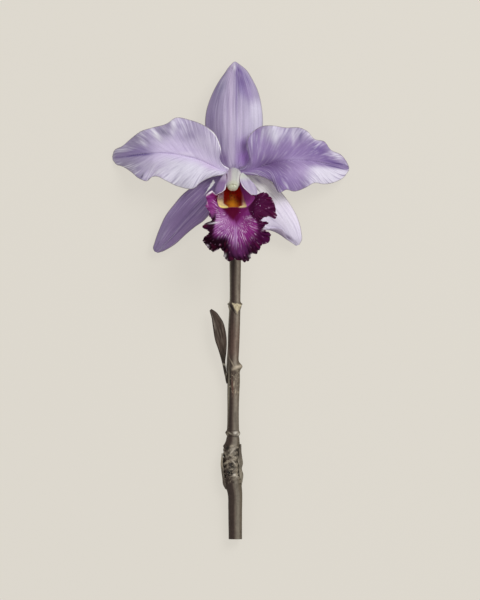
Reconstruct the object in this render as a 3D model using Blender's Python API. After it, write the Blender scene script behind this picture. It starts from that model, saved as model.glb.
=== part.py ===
"""A cut cattleya orchid: one flower on its woody stem, lying on its back with the flower facing up.

Lengths are in millimetres until a mesh is made. The flower's centre is the origin of every
outline: +X is the flower's right, +Y its top, and the stem runs along -Y. Its petals' tips and a
flat spot under the stem's knot rest on z = 0.
"""

import math

import bpy
import numpy as np

MM = 0.001

# Flower: heights of the two whorls of leaves above the surface, and their thickness.
SEPAL_BASE_Z = 13.0
PETAL_BASE_Z = 15.9
SEPAL_THICKNESS = 1.2
PETAL_THICKNESS = 1.0
LIP_THICKNESS = 0.7
MARGIN_THICKNESS = 0.7
PETAL_TIP_Z = 0.27

# The rolled margin of the right lateral sepal: where along the blade, how far, and how deep.
CURL_PLACE = 0.77
CURL_WIDTH = 0.15
CURL_TURN = math.radians(200)
CURL_DEPTH = 2.2
CURL_LIFT = 0.7
CURL_COLUMNS = 5

# Ovary: a stalk along the surface that turns up behind the flower.
STALK_RADIUS = 2.2
OVARY_RADIUS = 2.9
OVARY_BEND_RADIUS = 9.5
OVARY_TOP_RADIUS = 2.6
OVARY_TOP_Z = 17.0
OVARY_RIBS = 6

# Stem: its axis is held above the surface by the knot.
STEM_AXIS_Z = 5.0
STEM_TOP_Y = -36.0
STEM_CUT_Y = -220.8
STEM_SIDES = 16

GAP = 0.3


def smooth(knots, values, at):
    """Values at the given places of a smooth curve through the values at the knots."""
    knots = np.asarray(knots, float)
    values = np.asarray(values, float)
    at = np.asarray(at, float)
    slopes = np.gradient(values, knots, axis=0)
    piece = np.clip(np.searchsorted(knots, at, side="right") - 1, 0, len(knots) - 2)
    step = knots[piece + 1] - knots[piece]
    t = (at - knots[piece]) / step
    if values.ndim > 1:
        step = step[..., None]
        t = t[..., None]
    start = (1 + 2 * t) * (1 - t) ** 2 * values[piece] + t * (1 - t) ** 2 * step * slopes[piece]
    end = t * t * (3 - 2 * t) * values[piece + 1] + t * t * (t - 1) * step * slopes[piece + 1]
    return start + end


def smooth_line(points, at):
    """Points at fractions of the length of a smooth line through the given points."""
    points = np.asarray(points, float)
    chords = np.linalg.norm(np.diff(points, axis=0), axis=1)
    knots = np.concatenate([[0.0], np.cumsum(chords)]) / chords.sum()
    return smooth(knots, points, at)


def material(name, colour, roughness):
    """A plain finish for one piece."""
    made = bpy.data.materials.new(name)
    made.use_nodes = True
    shader = made.node_tree.nodes["Principled BSDF"]
    shader.inputs["Base Color"].default_value = (*colour, 1.0)
    shader.inputs["Roughness"].default_value = roughness
    shader.inputs["Metallic"].default_value = 0.0
    return made


def new_object(name, vertices, faces, finish):
    """An object from vertices in millimetres, smooth but for its sharp edges."""
    mesh = bpy.data.meshes.new(name)
    mesh.from_pydata([tuple(point) for point in np.asarray(vertices) * MM], [], faces)
    mesh.materials.append(finish)
    mesh.shade_smooth()
    mesh.set_sharp_from_angle(angle=math.radians(50))
    made = bpy.data.objects.new(name, mesh)
    bpy.context.scene.collection.objects.link(made)
    return made


def leaf_solid(name, grid, thickness, finish):
    """A leaf about a grid of points from base to tip, thinner at its tip and side margins.

    Both faces are split into triangles along the same, shorter diagonal of each cell.
    """
    rows, columns = grid.shape[:2]
    faces = []
    for i in range(rows - 1):
        for j in range(columns - 1):
            a, b = i * columns + j, i * columns + j + 1
            c, d = b + columns, a + columns
            falling = np.linalg.norm(grid[i, j] - grid[i + 1, j + 1])
            rising = np.linalg.norm(grid[i, j + 1] - grid[i + 1, j])
            faces += [(a, b, c), (a, c, d)] if falling <= rising else [(a, b, d), (b, c, d)]
    made = new_object(name, grid.reshape(-1, 3), faces, finish)
    body = made.vertex_groups.new(name="body")
    for i in range(rows):
        for j in range(columns):
            across = 2 * j / (columns - 1) - 1
            weight = (1 - across**4) * (1 - (i / (rows - 1)) ** 8)
            body.add([i * columns + j], weight, "REPLACE")
    wall = made.modifiers.new("thickness", "SOLIDIFY")
    wall.thickness = thickness * MM
    wall.offset = 0
    wall.vertex_group = body.name
    wall.thickness_vertex_group = MARGIN_THICKNESS / thickness
    return made


def blade_plan(midrib, left, right, rows, columns):
    """A blade's grid in plan, with its places along (0 to 1) and across (-1 left to 1 right)."""
    along = np.linspace(0, 1, rows)[:, None]
    across = np.linspace(-1, 1, columns)[None, :]
    middle = smooth_line(midrib, along[:, 0])[:, None, :]
    sides = [smooth_line(edge, along[:, 0])[:, None, :] for edge in (left, right)]
    edge = np.where(across[..., None] < 0, sides[0], sides[1])
    return middle + np.abs(across)[..., None] * (edge - middle), along, across


def with_height(plan, height):
    return np.concatenate([plan, np.broadcast_to(height, plan.shape[:2])[..., None]], axis=-1)


def waves(along, across, side, count, height, phase):
    """Waves of one margin, which die out towards the midrib."""
    reach = np.clip(across * side, 0, 1) ** 2.5
    fade = np.sin(np.pi * np.clip(along, 0, 1)) ** 0.5
    return height * reach * fade * np.sin(2 * np.pi * (count * along + phase))


def rings_along(path, across, deep, sides):
    """Rings round a path: across is the half width along X, deep the half width square to it."""
    path = np.asarray(path, float)
    run = np.gradient(path, axis=0)
    run /= np.linalg.norm(run, axis=1)[:, None]
    side = np.array([1.0, 0.0, 0.0]) - run * run[:, :1]
    side /= np.linalg.norm(side, axis=1)[:, None]
    up = np.cross(side, run)
    turn = np.linspace(0, 2 * np.pi, sides, endpoint=False)
    across = np.broadcast_to(np.asarray(across, float).reshape(len(path), -1), (len(path), sides))
    deep = np.broadcast_to(np.asarray(deep, float).reshape(len(path), -1), (len(path), sides))
    return (
        path[:, None]
        + (across * np.cos(turn))[..., None] * side[:, None]
        + (deep * np.sin(turn))[..., None] * up[:, None]
    )


def ring_solid(name, rings, finish):
    """A solid from a stack of rings, closed flat at both ends."""
    count, sides = rings.shape[:2]
    faces = [tuple(range(sides)), tuple(range(count * sides - 1, (count - 1) * sides - 1, -1))]
    for i in range(count - 1):
        for k in range(sides):
            a, b = i * sides + k, i * sides + (k + 1) % sides
            faces.append((a, a + sides, b + sides, b))
    return new_object(name, rings.reshape(-1, 3), faces, finish)


def make_dorsal_sepal(finish):
    """The upright outer leaf, arched back from a raised midrib."""
    midrib = [(0, 2.9), (0, 10), (0.2, 25), (0.2, 45), (0.6, 66.6)]
    left = [(-3.4, 1.8), (-8.2, 2.8), (-12.6, 8.4), (-15.5, 18), (-17.4, 29), (-16.8, 36)]
    left += [(-13.8, 45.6), (-8.4, 55.8), (-5.4, 60), (-3, 63.6), (-0.4, 66.2)]
    right = [(3.4, 1.8), (8.2, 2.8), (12.6, 8.4), (15.7, 18), (17.4, 29), (16.8, 38.4)]
    right += [(13.8, 50.4), (10.8, 56.4), (7.8, 61.2), (3.6, 64.8), (1.6, 66.2)]
    plan, along, across = blade_plan(midrib, left, right, 21, 11)
    arch = smooth([0, 0.3, 0.6, 0.85, 1], [SEPAL_BASE_Z, 15.5, 16.5, 13.5, 10], along)
    fall = smooth([0, 0.3, 0.7, 1], [0.2, 2.6, 3.0, 0.4], along)
    height = arch - fall * np.abs(across) ** 1.6
    height = height + waves(along, across, 1, 2, 0.5, 0.3)
    return leaf_solid("dorsal_sepal", with_height(plan, height), SEPAL_THICKNESS, finish)


def make_left_lateral_sepal(finish):
    """The outer leaf at the lower left, arched back, with a blunt tip."""
    midrib = [(-2.4, -1.7), (-9, -6.4), (-20, -17), (-33, -31.5), (-42, -42), (-46.8, -48)]
    inner = [(-1.0, -3.6), (-4.6, -8), (-11, -20), (-18, -29), (-23.4, -32.8), (-28.8, -37.2)]
    inner += [(-35.4, -43.2), (-39.6, -45.9), (-43.2, -47.7), (-46.0, -48.4)]
    outer = [(-3.8, 0.3), (-8.5, 0.6), (-17, -2.6), (-26.4, -9.6), (-30.8, -13.2), (-36, -19.2)]
    outer += [(-41.4, -26.4), (-45, -34.2), (-48, -42.6), (-48.8, -45.8), (-47.8, -47.6)]
    plan, along, across = blade_plan(midrib, inner, outer, 20, 9)
    arch = smooth([0, 0.25, 0.6, 1], [SEPAL_BASE_Z, 13.6, 12.5, 6.5], along)
    fall = smooth([0, 0.3, 0.7, 1], [0.2, 1.6, 2.4, 0.3], along)
    height = arch - fall * np.abs(across) ** 1.7 + waves(along, across, 1, 2, 0.5, 0.1)
    return leaf_solid("left_lateral_sepal", with_height(plan, height), SEPAL_THICKNESS, finish)


def curl_margin(plan, turn, depth):
    """Rolls the right margin of a plan up and in over its face, and returns the rolled grid.

    The outermost line of the roll stays on the plan's outline; turn is the roll's angle a row.
    """
    grid = with_height(plan, 0.0)
    middle = plan.shape[1] // 2
    flat = middle - CURL_COLUMNS
    midline, outline = plan[:, middle], plan[:, -1]
    half = np.linalg.norm(outline - midline, axis=1)[:, None]
    inward = (midline - outline) / half
    depth = np.minimum(depth, 0.4 * half)
    peak = np.sin(np.minimum(turn, np.pi / 2))[:, None]
    for k in range(1, middle + 1):
        angle = turn[:, None] * max(k - flat, 0) / CURL_COLUMNS
        reach = half - depth if k > flat else (half - depth) * k / flat
        grid[:, middle + k, :2] = midline - inward * (reach + depth * np.sin(angle) / peak)
        grid[:, middle + k, 2:] = CURL_LIFT * depth * (1 - np.cos(angle)) / peak
    return grid


def make_right_lateral_sepal(finish):
    """The outer leaf at the lower right, whose lower margin turns up and in over its face."""
    midrib = [(2.4, -1.7), (9, -6.4), (18, -16.5), (27, -28), (34.5, -38), (38.4, -43.8)]
    outer = [(3.8, 0.3), (8.5, 0.8), (17, -2), (28.2, -11.8), (34.2, -19.8), (38.4, -27.6)]
    outer += [(40.6, -36), (40.8, -40.8), (39.4, -43.4)]
    lower = [(1.0, -3.6), (4, -11), (9, -23), (14, -31), (18, -34.5), (21.6, -34.5)]
    lower += [(25.2, -35.7), (28.8, -37.8), (31.8, -40.2), (35.4, -42.8), (37.4, -44.2)]
    plan, along, across = blade_plan(midrib, outer, lower, 23, 17)
    turn = CURL_TURN * np.exp(-(((along[:, 0] - CURL_PLACE) / CURL_WIDTH) ** 2)) + 0.02
    grid = curl_margin(plan, turn, CURL_DEPTH)
    arch = smooth([0, 0.25, 0.6, 1], [SEPAL_BASE_Z, 13.8, 13, 7], along)
    fall = smooth([0, 0.3, 0.7, 1], [0.2, 1.4, 2.2, 0.3], along)
    grid[..., 2] += arch - fall * np.clip(-across, 0, 1) ** 1.7 - 0.4 * fall * np.clip(across, 0, 1)
    return leaf_solid("right_lateral_sepal", grid, SEPAL_THICKNESS, finish)


def make_left_petal(finish):
    """The broad petal at the left, channelled along its midrib and waved at both margins."""
    midrib = [(-2.9, 0.5), (-7.2, 0.8), (-11.4, 2.8), (-17.4, 5.7), (-23.4, 8.1), (-29.4, 9.6)]
    midrib += [(-41.4, 11.4), (-53.4, 11.1), (-65.4, 9.6), (-73.2, 8.6)]
    lower = [(-2.6, -1.6), (-6.6, -1.9), (-13.2, -3), (-20.4, -6.6), (-24, -9.8), (-33.6, -8.7)]
    lower += [(-40.8, -5.4), (-46.8, -2.7), (-49.2, -3), (-52.2, -5.4), (-56.4, -4.2)]
    lower += [(-62.4, 0.6), (-67.2, 3.6), (-70.8, 4.8), (-73.1, 7.6)]
    upper = [(-3.4, 2.4), (-7.0, 4.8), (-8.8, 9), (-7.8, 13.2), (-9, 18), (-11.4, 22.8)]
    upper += [(-17.4, 27.6), (-26.4, 31.2), (-35.4, 32.4), (-39.6, 29.4), (-49.2, 26.7)]
    upper += [(-55.8, 24.6), (-61.8, 20.4), (-67.2, 15.9), (-72.2, 13.2), (-73.3, 9.6)]
    plan, along, across = blade_plan(midrib, lower, upper, 29, 13)
    arch = [PETAL_BASE_Z, 18.6, 21.5, 21, 16.5, 8.4, PETAL_TIP_Z]
    middle = smooth([0, 0.12, 0.3, 0.5, 0.7, 0.87, 1], arch, along)
    dish = smooth([0, 0.15, 0.5, 0.85, 1], [0.5, 2.6, 3.2, 1.6, 0.1], along)
    width = np.abs(across)
    height = middle + dish * (width**1.3 - 0.6 * width**5)
    height = height + waves(along, across, 1, 5, 1.7, 0.55) + waves(along, across, -1, 4, 1.5, 0.1)
    return leaf_solid("left_petal", with_height(plan, height), PETAL_THICKNESS, finish)


def make_right_petal(finish):
    """The broad petal at the right, more deeply channelled, with its inner margin turned back."""
    midrib = [(2.9, 0.5), (7.2, 0.4), (14, 2.4), (24, 5.5), (36, 7), (48, 6.5), (58, 4.8)]
    midrib += [(69.1, 2.2)]
    upper = [(3.4, 2.4), (7.8, 4.4), (9.6, 8), (7.8, 14.4), (8.4, 20.4), (12.6, 25.2)]
    upper += [(17.4, 27.6), (21.6, 27.9), (30.6, 26.7), (40.2, 26.4), (43.8, 24.6)]
    upper += [(48.6, 19.8), (54, 18.6), (58.2, 13.5), (64.2, 10.8), (68.4, 5.4), (69.4, 3)]
    lower = [(2.6, -1.6), (7.8, -1.8), (15.6, -2.7), (19.2, -3.9), (22.8, -6), (27.6, -12.6)]
    lower += [(31.2, -10.8), (36, -11.7), (42.6, -9.6), (48.6, -6.6), (53.4, -7.2)]
    lower += [(60.6, -6), (66, -3), (69.2, 1.2)]
    plan, along, across = blade_plan(midrib, upper, lower, 29, 13)
    arch = [PETAL_BASE_Z, 18.2, 20.5, 20, 15.8, 8.2, PETAL_TIP_Z]
    middle = smooth([0, 0.12, 0.3, 0.5, 0.7, 0.87, 1], arch, along)
    dish = smooth([0, 0.15, 0.5, 0.85, 1], [0.5, 3.2, 4.4, 2.0, 0.1], along)
    width = np.abs(across)
    height = middle + dish * (width**1.3 - 0.6 * width**5)
    height = height + waves(along, across, -1, 5, 1.8, 0.2) + waves(along, across, 1, 4, 1.6, 0.6)
    return leaf_solid("right_petal", with_height(plan, height), PETAL_THICKNESS, finish)


# The lip's margin, from its left side lobe down round its front lobe and up to its right side
# lobe: each lobule bends back, and each notch between two of them stands forward.
LIP_MARGIN = [
    (-13.2, -11.4, 49), (-16.8, -14.4, 49.5), (-15.9, -18, 48.5), (-17.1, -21, 50),
    (-14.9, -24, 49), (-14.9, -26.6, 49.2), (-13, -29.4, 47.6), (-15.6, -31.8, 46),
    (-18.6, -33.6, 44.4), (-16.5, -35.7, 46.2), (-15.8, -37.8, 44.8), (-18.9, -40.8, 42.6),
    (-17.1, -43.6, 44.6), (-14.4, -46.8, 42.4), (-12, -47.4, 42), (-8.4, -46.2, 44.6),
    (-5.8, -48.2, 42.4), (-6, -51.6, 40), (-3, -53.6, 40.4), (0, -52.2, 42.6),
    (3.6, -52.5, 41.8), (7.2, -53.4, 40), (10.2, -51.2, 40.8), (9.8, -49.2, 43),
    (12.6, -49.2, 41.2), (14.7, -46.8, 41.8), (15, -45, 43.6), (16.8, -42.4, 44.6),
    (19.2, -42.9, 42.4), (21.6, -39.4, 42.8), (21.2, -36.6, 44.4), (18.6, -35.2, 46),
    (17.6, -33.8, 45.2), (18.6, -32.4, 44.8), (20.6, -30.6, 44.6), (18.2, -30.6, 45.6),
    (15.4, -29.8, 47.4), (18, -27.8, 49), (21.6, -27.1, 50), (25.2, -27.8, 48.8),
    (24.9, -24, 48), (24.3, -20.4, 49.6), (22.8, -16.5, 48.4), (21, -13.2, 49.8),
    (18.6, -11.7, 49), (15.6, -11.8, 49.4),
]

# The line inside the margin where the frill starts: (index of the margin's point, x, y, z).
LIP_FRILL_FOOT = [
    (0, -10, -13.2, 48.5), (1.5, -12.6, -15.4, 49.4), (3, -13, -19.4, 49.2),
    (4.5, -11.4, -23.6, 49), (6, -10.2, -27.6, 48.6), (8, -11.2, -32.4, 47.8),
    (10, -12.2, -37.6, 46.8), (12, -12.4, -41.6, 46), (14, -9.4, -43, 45.6),
    (16, -5.6, -43.4, 45.4), (18, -3, -46.6, 44.8), (19, 0.2, -48.8, 44.6),
    (21, 5.2, -48.6, 44.4), (23, 7.8, -46.2, 45), (25, 10.8, -44.2, 45.2),
    (27, 12.8, -40.8, 46.2), (29, 15, -37.6, 46.4), (31, 14.6, -34.6, 47),
    (33, 13.8, -32.2, 47.4), (34.5, 13, -30.4, 47.8), (36, 12.2, -28.2, 48.6),
    (38, 15, -25, 49.8), (40, 18.2, -22, 50), (42, 18.4, -17.6, 50),
    (44, 16, -14.6, 49.6), (45, 13.4, -13.6, 48.6),
]

# The lip's cross-sections from its claw to its mouth: each goes from the left free edge, round
# the tube's left wall, floor and right wall, to the right free edge. LIP_PLACES has the index
# of the margin's point that each of the seven runs out to.
LIP_PLACES = [0, 3, 8, 19, 31, 40, 45]
LIP_TUBE = [
    [(-2.3, -2.8, 16.1), (-1.6, -3.1, 15.9), (-0.8, -3.3, 15.8), (0, -3.4, 15.8),
     (0.8, -3.3, 15.8), (1.6, -3.1, 15.9), (2.3, -2.8, 16.1)],
    [(-4.9, -2.8, 18.9), (-4.7, -4.4, 18.0), (-2.9, -5.8, 17.3), (0, -6.4, 17.0),
     (3.0, -5.8, 17.3), (4.9, -4.4, 18.0), (5.1, -2.6, 18.9)],
    [(-5.3, -1.0, 22.5), (-7.8, -3.2, 21), (-5.8, -8.2, 19.5), (0, -9.6, 19),
     (6.2, -8.2, 19.5), (8.4, -3.2, 21), (5.6, -0.6, 22.5)],
    [(-5.2, -3.4, 31), (-10.0, -5.0, 29.5), (-9.8, -11.6, 27), (0.2, -15.0, 25.8),
     (10.6, -11.6, 27), (11.8, -4.8, 29.5), (5.0, -3.0, 31)],
    [(-4.7, -8.6, 39.5), (-11.4, -9.6, 38.5), (-10.6, -16.4, 35), (-0.4, -19.6, 33.8),
     (10.2, -16.8, 35), (14.0, -10.0, 38), (4.7, -7.8, 39)],
    [(-6.8, -12.4, 45.5), (-10.2, -13.6, 45), (-8.8, -19.6, 42.6), (-0.6, -22.4, 41.5),
     (8.2, -20.4, 42.6), (12.6, -15.0, 45), (10.2, -13.4, 45)],
]
LIP_CROWN = [0.2, 1.2, 4.0, 7.0, 4.4, 1.4, 0.2]
LIP_COLUMNS = 61
LIP_TUBE_ROWS = 7
LIP_FLARE_ROWS = 9
LIP_FAIRING = 7


def faired(grid, first, rounds):
    """The grid with its points between row first and the margin drawn towards their neighbours."""
    grid = grid.copy()
    for _ in range(rounds):
        inner = grid[first:-1, 1:-1]
        beside = grid[first:-1, :-2] + grid[first:-1, 2:]
        beside = beside + grid[first - 1:-2, 1:-1] + grid[first + 1:, 1:-1]
        grid[first:-1, 1:-1] = (inner + beside / 4) / 2
    return grid


def lip_grid():
    """The lip's middle surface: rows from claw to margin, columns from left to right edge."""
    place = np.linspace(0, len(LIP_MARGIN) - 1, LIP_COLUMNS)
    tube = [smooth(LIP_PLACES, ring, place) for ring in LIP_TUBE]
    margin = smooth(np.arange(len(LIP_MARGIN)), LIP_MARGIN, place)
    foot = np.array(LIP_FRILL_FOOT)
    foot = smooth(foot[:, 0], foot[:, 1:], place)
    crown = (tube[-1] + foot) / 2
    crown[:, 2] += smooth(LIP_PLACES, LIP_CROWN, place)
    sections = np.array([*tube, crown, foot, margin])
    mouth = len(tube) - 1
    rows = np.concatenate([
        np.linspace(0, mouth, LIP_TUBE_ROWS, endpoint=False),
        np.linspace(mouth, len(sections) - 1, LIP_FLARE_ROWS),
    ])
    flat = sections.reshape(len(sections), -1)
    grid = smooth(np.arange(len(sections)), flat, rows).reshape(len(rows), LIP_COLUMNS, 3)
    return faired(grid, LIP_TUBE_ROWS + 1, LIP_FAIRING)


def make_lip(finish):
    """The third petal: a claw, a tube round the column, and a flared front with ruffled margins."""
    return leaf_solid("lip", lip_grid(), LIP_THICKNESS, finish)


def column_path():
    return [(0.0, -0.3, 17.35), (-0.1, -0.7, 20), (-0.2, -2.2, 26), (-0.4, -4.8, 32.5),
            (-0.6, -7.7, 37.5), (-0.7, -9.4, 40)]


def make_column(finish):
    """The fused stamen and style: round at its back, broadest near the hood at its tip."""
    path = smooth_line(column_path(), np.linspace(0, 1, 15))
    at = np.linspace(0, 1, 15)
    places = [0, 0.07, 0.22, 0.5, 0.8, 0.93, 1]
    across = smooth(places, [3.2, 3.4, 4.5, 4.4, 3.7, 3.4, 3.1], at)
    deep = smooth(places, [3.1, 3.2, 3.4, 3.1, 2.8, 2.6, 2.4], at)
    turn = np.linspace(0, 2 * np.pi, 16, endpoint=False)
    belly = 1 - 0.22 * np.clip(np.sin(turn), 0, 1) ** 2
    return ring_solid("column", rings_along(path, across, deep[:, None] * belly, 16), finish)


def column_end():
    """The middle of the column's end face and the way that it faces."""
    path = smooth_line(column_path(), np.array([0.98, 1.0]))
    way = path[1] - path[0]
    return path[1], way / np.linalg.norm(way)


def make_pollinia(finish):
    """Four waxy pollen masses, joined at the middle, on the column's end face."""
    end, way = column_end()
    levels = np.array([0, 0.2, 0.55, 0.75])
    path = end + (GAP + levels)[:, None] * way
    turn = np.linspace(0, 2 * np.pi, 24, endpoint=False)
    lobes = 0.75 + 0.45 * np.abs(np.cos(2 * turn)) ** 0.7
    radius = np.array([0.8, 1, 1, 0.75])[:, None] * lobes
    return ring_solid("pollinia", rings_along(path, 1.1 * radius, radius, 24), finish)


def make_anther_cap(finish):
    """The small hollow cap over the pollen masses, seated on the rim of the column's end."""
    end, way = column_end()
    side = np.array([1.0, 0.0, 0.0]) - way * way[0]
    side /= np.linalg.norm(side)
    up = np.cross(side, way)
    tilt = np.linspace(0, np.pi / 2, 6)
    turn = np.linspace(0, 2 * np.pi, 16, endpoint=False)
    points = [end + (GAP + 1.8) * way]
    faces = []
    for i, angle in enumerate(tilt[1:]):
        points += [end + (GAP + 1.8 * math.cos(angle)) * way + math.sin(angle)
                   * (2.9 * math.cos(t) * side + 2.2 * math.sin(t) * up) for t in turn]
        for k in range(16):
            a, b = 1 + i * 16 + k, 1 + i * 16 + (k + 1) % 16
            faces.append((a, b, 0) if i == 0 else (a, b, b - 16, a - 16))
    made = new_object("anther_cap", points, [face[::-1] for face in faces], finish)
    wall = made.modifiers.new("wall", "SOLIDIFY")
    wall.thickness = 0.6 * MM
    wall.offset = -1
    return made


def make_ovary(finish):
    """The flower stalk, which thickens into the ribbed ovary and turns up to carry the flower."""
    bend = [(0, OVARY_BEND_RADIUS * (math.sin(a) - 1),
             STEM_AXIS_Z + OVARY_BEND_RADIUS * (1 - math.cos(a)))
            for a in np.linspace(0, np.pi / 2, 9)]
    start = [(0.6, STEM_TOP_Y + GAP, STEM_AXIS_Z), (0.5, -29, STEM_AXIS_Z),
             (0.3, -20, STEM_AXIS_Z), (0.1, -14, STEM_AXIS_Z)]
    path = smooth_line([*start, *bend, (0, 0, OVARY_TOP_Z)], np.linspace(0, 1, 20))
    at = np.linspace(0, 1, 20)
    sizes = [STALK_RADIUS + 0.4, STALK_RADIUS, STALK_RADIUS, OVARY_RADIUS, OVARY_RADIUS,
             OVARY_TOP_RADIUS]
    radius = smooth([0, 0.08, 0.35, 0.7, 0.85, 1], sizes, at)
    sides = 2 * OVARY_RIBS
    turn = np.linspace(0, 2 * np.pi, sides, endpoint=False)
    ribs = 0.22 * smooth([0, 0.3, 0.6, 0.9, 1], [0, 0.2, 1, 0.8, 0], at)
    radius = radius[:, None] - ribs[:, None] * (1 - np.cos(OVARY_RIBS * turn)) / 2
    return ring_solid("ovary", rings_along(path, radius, radius, sides), finish)


def make_floral_bract(finish):
    """A small pointed scale that stands on the stem's end and clasps the flower stalk."""
    along = np.linspace(0, 1, 9)[:, None]
    across = np.linspace(-1, 1, 9)[None, :]
    half_turn = math.radians(75) * (1 - 0.93 * along**1.5)
    radius = 3.3 + 1.1 * along**2
    angle = half_turn * across
    y = STEM_TOP_Y + GAP + 10 * along + 0 * across
    grid = np.stack([0.6 + radius * np.sin(angle), y, STEM_AXIS_Z + radius * np.cos(angle)], axis=-1)
    return leaf_solid("floral_bract", grid, 0.8, finish)


# The stem's middle line and half width, from its cut foot to its top: (y, x, half width).
STEM_PROFILE = [
    (STEM_CUT_Y, 0.8, 4.0), (-202.8, 0.7, 4.2), (-193.8, 0.6, 4.4), (-187.2, -0.4, 5.1),
    (-182.4, -0.7, 5.6), (-178.8, -0.9, 5.8), (-175.8, -1.2, 5.8), (-171.6, -1.3, 5.3),
    (-166.8, -1.3, 4.9), (-160.8, -0.7, 4.0), (-153.6, -0.6, 3.6), (-136.8, -0.5, 3.5),
    (-121.8, -0.3, 3.8), (-114, -0.8, 3.6), (-106.8, -0.4, 3.5), (-91.8, 0.1, 3.5),
    (-76.8, 0.6, 3.25), (-53.4, 0.7, 3.45), (-40, 0.6, 3.5), (STEM_TOP_Y, 0.6, 3.0),
]
JOINT_YS = (-79.8, -117.6, -156.6)
KNOT_Y = -176.0


def stem_levels():
    """Heights of the stem's rings, close together at its joints and its knot."""
    levels = [STEM_CUT_Y]
    while levels[-1] < STEM_TOP_Y - 1:
        y = levels[-1]
        near_joint = min(abs(y - joint) for joint in JOINT_YS) < 5
        near_knot = abs(y - KNOT_Y) < 15
        levels.append(min(y + (1.4 if near_joint or near_knot else 6.0), STEM_TOP_Y))
    return np.array(levels)


def bump(turn, y, at_turn, at_y, height, wide, tall):
    """A rounded swelling of the stem; wide is its half width in degrees, tall in millimetres."""
    away = (turn - math.radians(at_turn) + np.pi) % (2 * np.pi) - np.pi
    return height * np.exp(-((away / math.radians(wide)) ** 2) - ((y - at_y) / tall) ** 2)


def stem_relief(turn, y):
    """How far the stem's surface stands out at its joints, spur and knot."""
    relief = 0.75 * np.exp(-(((y - JOINT_YS[0]) / 1.5) ** 2))
    relief = relief + bump(turn, y, 80, -81.5, 0.5, 32, 2.6)
    relief = relief + 0.35 * np.exp(-(((y - JOINT_YS[1]) / 2.2) ** 2))
    relief = relief + bump(turn, y, 12, -116.6, 1.9, 30, 1.9) + bump(turn, y, 75, -116, 0.7, 35, 2.4)
    relief = relief + 0.7 * np.exp(-(((y - JOINT_YS[2]) / 1.1) ** 2))
    draw = np.random.default_rng(7)
    for _ in range(22):
        place = draw.uniform(-25, 205), draw.uniform(-188, -163)
        size = draw.uniform(-0.9, 0.9), draw.uniform(16, 34), draw.uniform(1.6, 3.2)
        relief = relief + bump(turn, y, *place, *size)
    return relief


def make_stem(finish):
    """The woody stem: joints with bract scars, a spur, a gnarled knot, and a flat rest under it."""
    y = stem_levels()
    profile = np.array(STEM_PROFILE)
    middle, half = smooth(profile[:, 0], profile[:, 1:], y).T
    turn = np.linspace(0, 2 * np.pi, STEM_SIDES, endpoint=False)
    radius = half[:, None] + stem_relief(turn[None], y[:, None])
    path = np.stack([middle, y, np.full_like(y, STEM_AXIS_Z)], axis=-1)
    rings = np.stack([
        path[:, :1] + radius * np.cos(turn),
        np.broadcast_to(y[:, None], radius.shape),
        np.maximum(STEM_AXIS_Z + radius * np.sin(turn), 0),
    ], axis=-1)
    return ring_solid("stem", rings, finish)


def make_side_leaf(finish):
    """The small dry leaf that stands off the stem's left side, folded along its midrib."""
    midrib = [(-5.2, -127), (-5.6, -122), (-6.2, -115), (-7.6, -107), (-9.3, -98), (-11.6, -90)]
    midrib += [(-14.2, -82.6)]
    left = [(-6.0, -127), (-6.6, -121), (-7.2, -115), (-9.4, -106.8), (-11.4, -100.8)]
    left += [(-12.6, -93.6), (-13.5, -87.6), (-14.6, -83.2)]
    right = [(-4.5, -127), (-4.6, -122), (-5.1, -115), (-4.6, -108), (-4.4, -101), (-5.2, -94.8)]
    right += [(-6.6, -90), (-8.4, -87), (-10.8, -84), (-13.5, -82.2)]
    plan, along, across = blade_plan(midrib, left, right, 15, 7)
    lift = smooth([0, 0.25, 0.6, 1], [5.6, 6.6, 8.4, 7.6], along)
    height = lift + smooth([0, 0.3, 0.6, 1], [0, 0.2, 1.1, 0.1], along) * np.abs(across)
    return leaf_solid("side_leaf", with_height(plan, height), 0.9, finish)


def sheath_scale(name, centre_turn, half_turn, foot_y, length, clearance, finish):
    """A dry pointed scale that hugs the knot from its foot up, standing off it a little."""
    along = np.linspace(0, 1, 11)[:, None]
    across = np.linspace(-1, 1, 7)[None, :]
    spread = math.radians(half_turn) * np.sqrt(np.clip(1 - 0.97 * along**1.6, 0, 1))
    turn = math.radians(centre_turn) - spread * across
    y = foot_y + length * along + 0 * across
    profile = np.array(STEM_PROFILE)
    middle, half = np.moveaxis(smooth(profile[:, 0], profile[:, 1:], y), -1, 0)
    radius = half + stem_relief(turn, y) + clearance * (1 + 0.5 * along)
    grid = np.stack([
        middle + radius * np.cos(turn), y, STEM_AXIS_Z + radius * np.sin(turn)
    ], axis=-1)
    return leaf_solid(name, grid, 0.7, finish)


def seat_on_surface(parts):
    """Hangs the parts on one empty, so that the world's origin is the middle of their footprint."""
    graph = bpy.context.evaluated_depsgraph_get()
    corners = np.array([corner for part in parts for corner in part.evaluated_get(graph).bound_box])
    middle = (corners.min(axis=0) + corners.max(axis=0)) / 2
    holder = bpy.data.objects.new("orchid", None)
    holder.location = (-middle[0], -middle[1], 0)
    bpy.context.scene.collection.objects.link(holder)
    for part in parts:
        part.parent = holder


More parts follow.
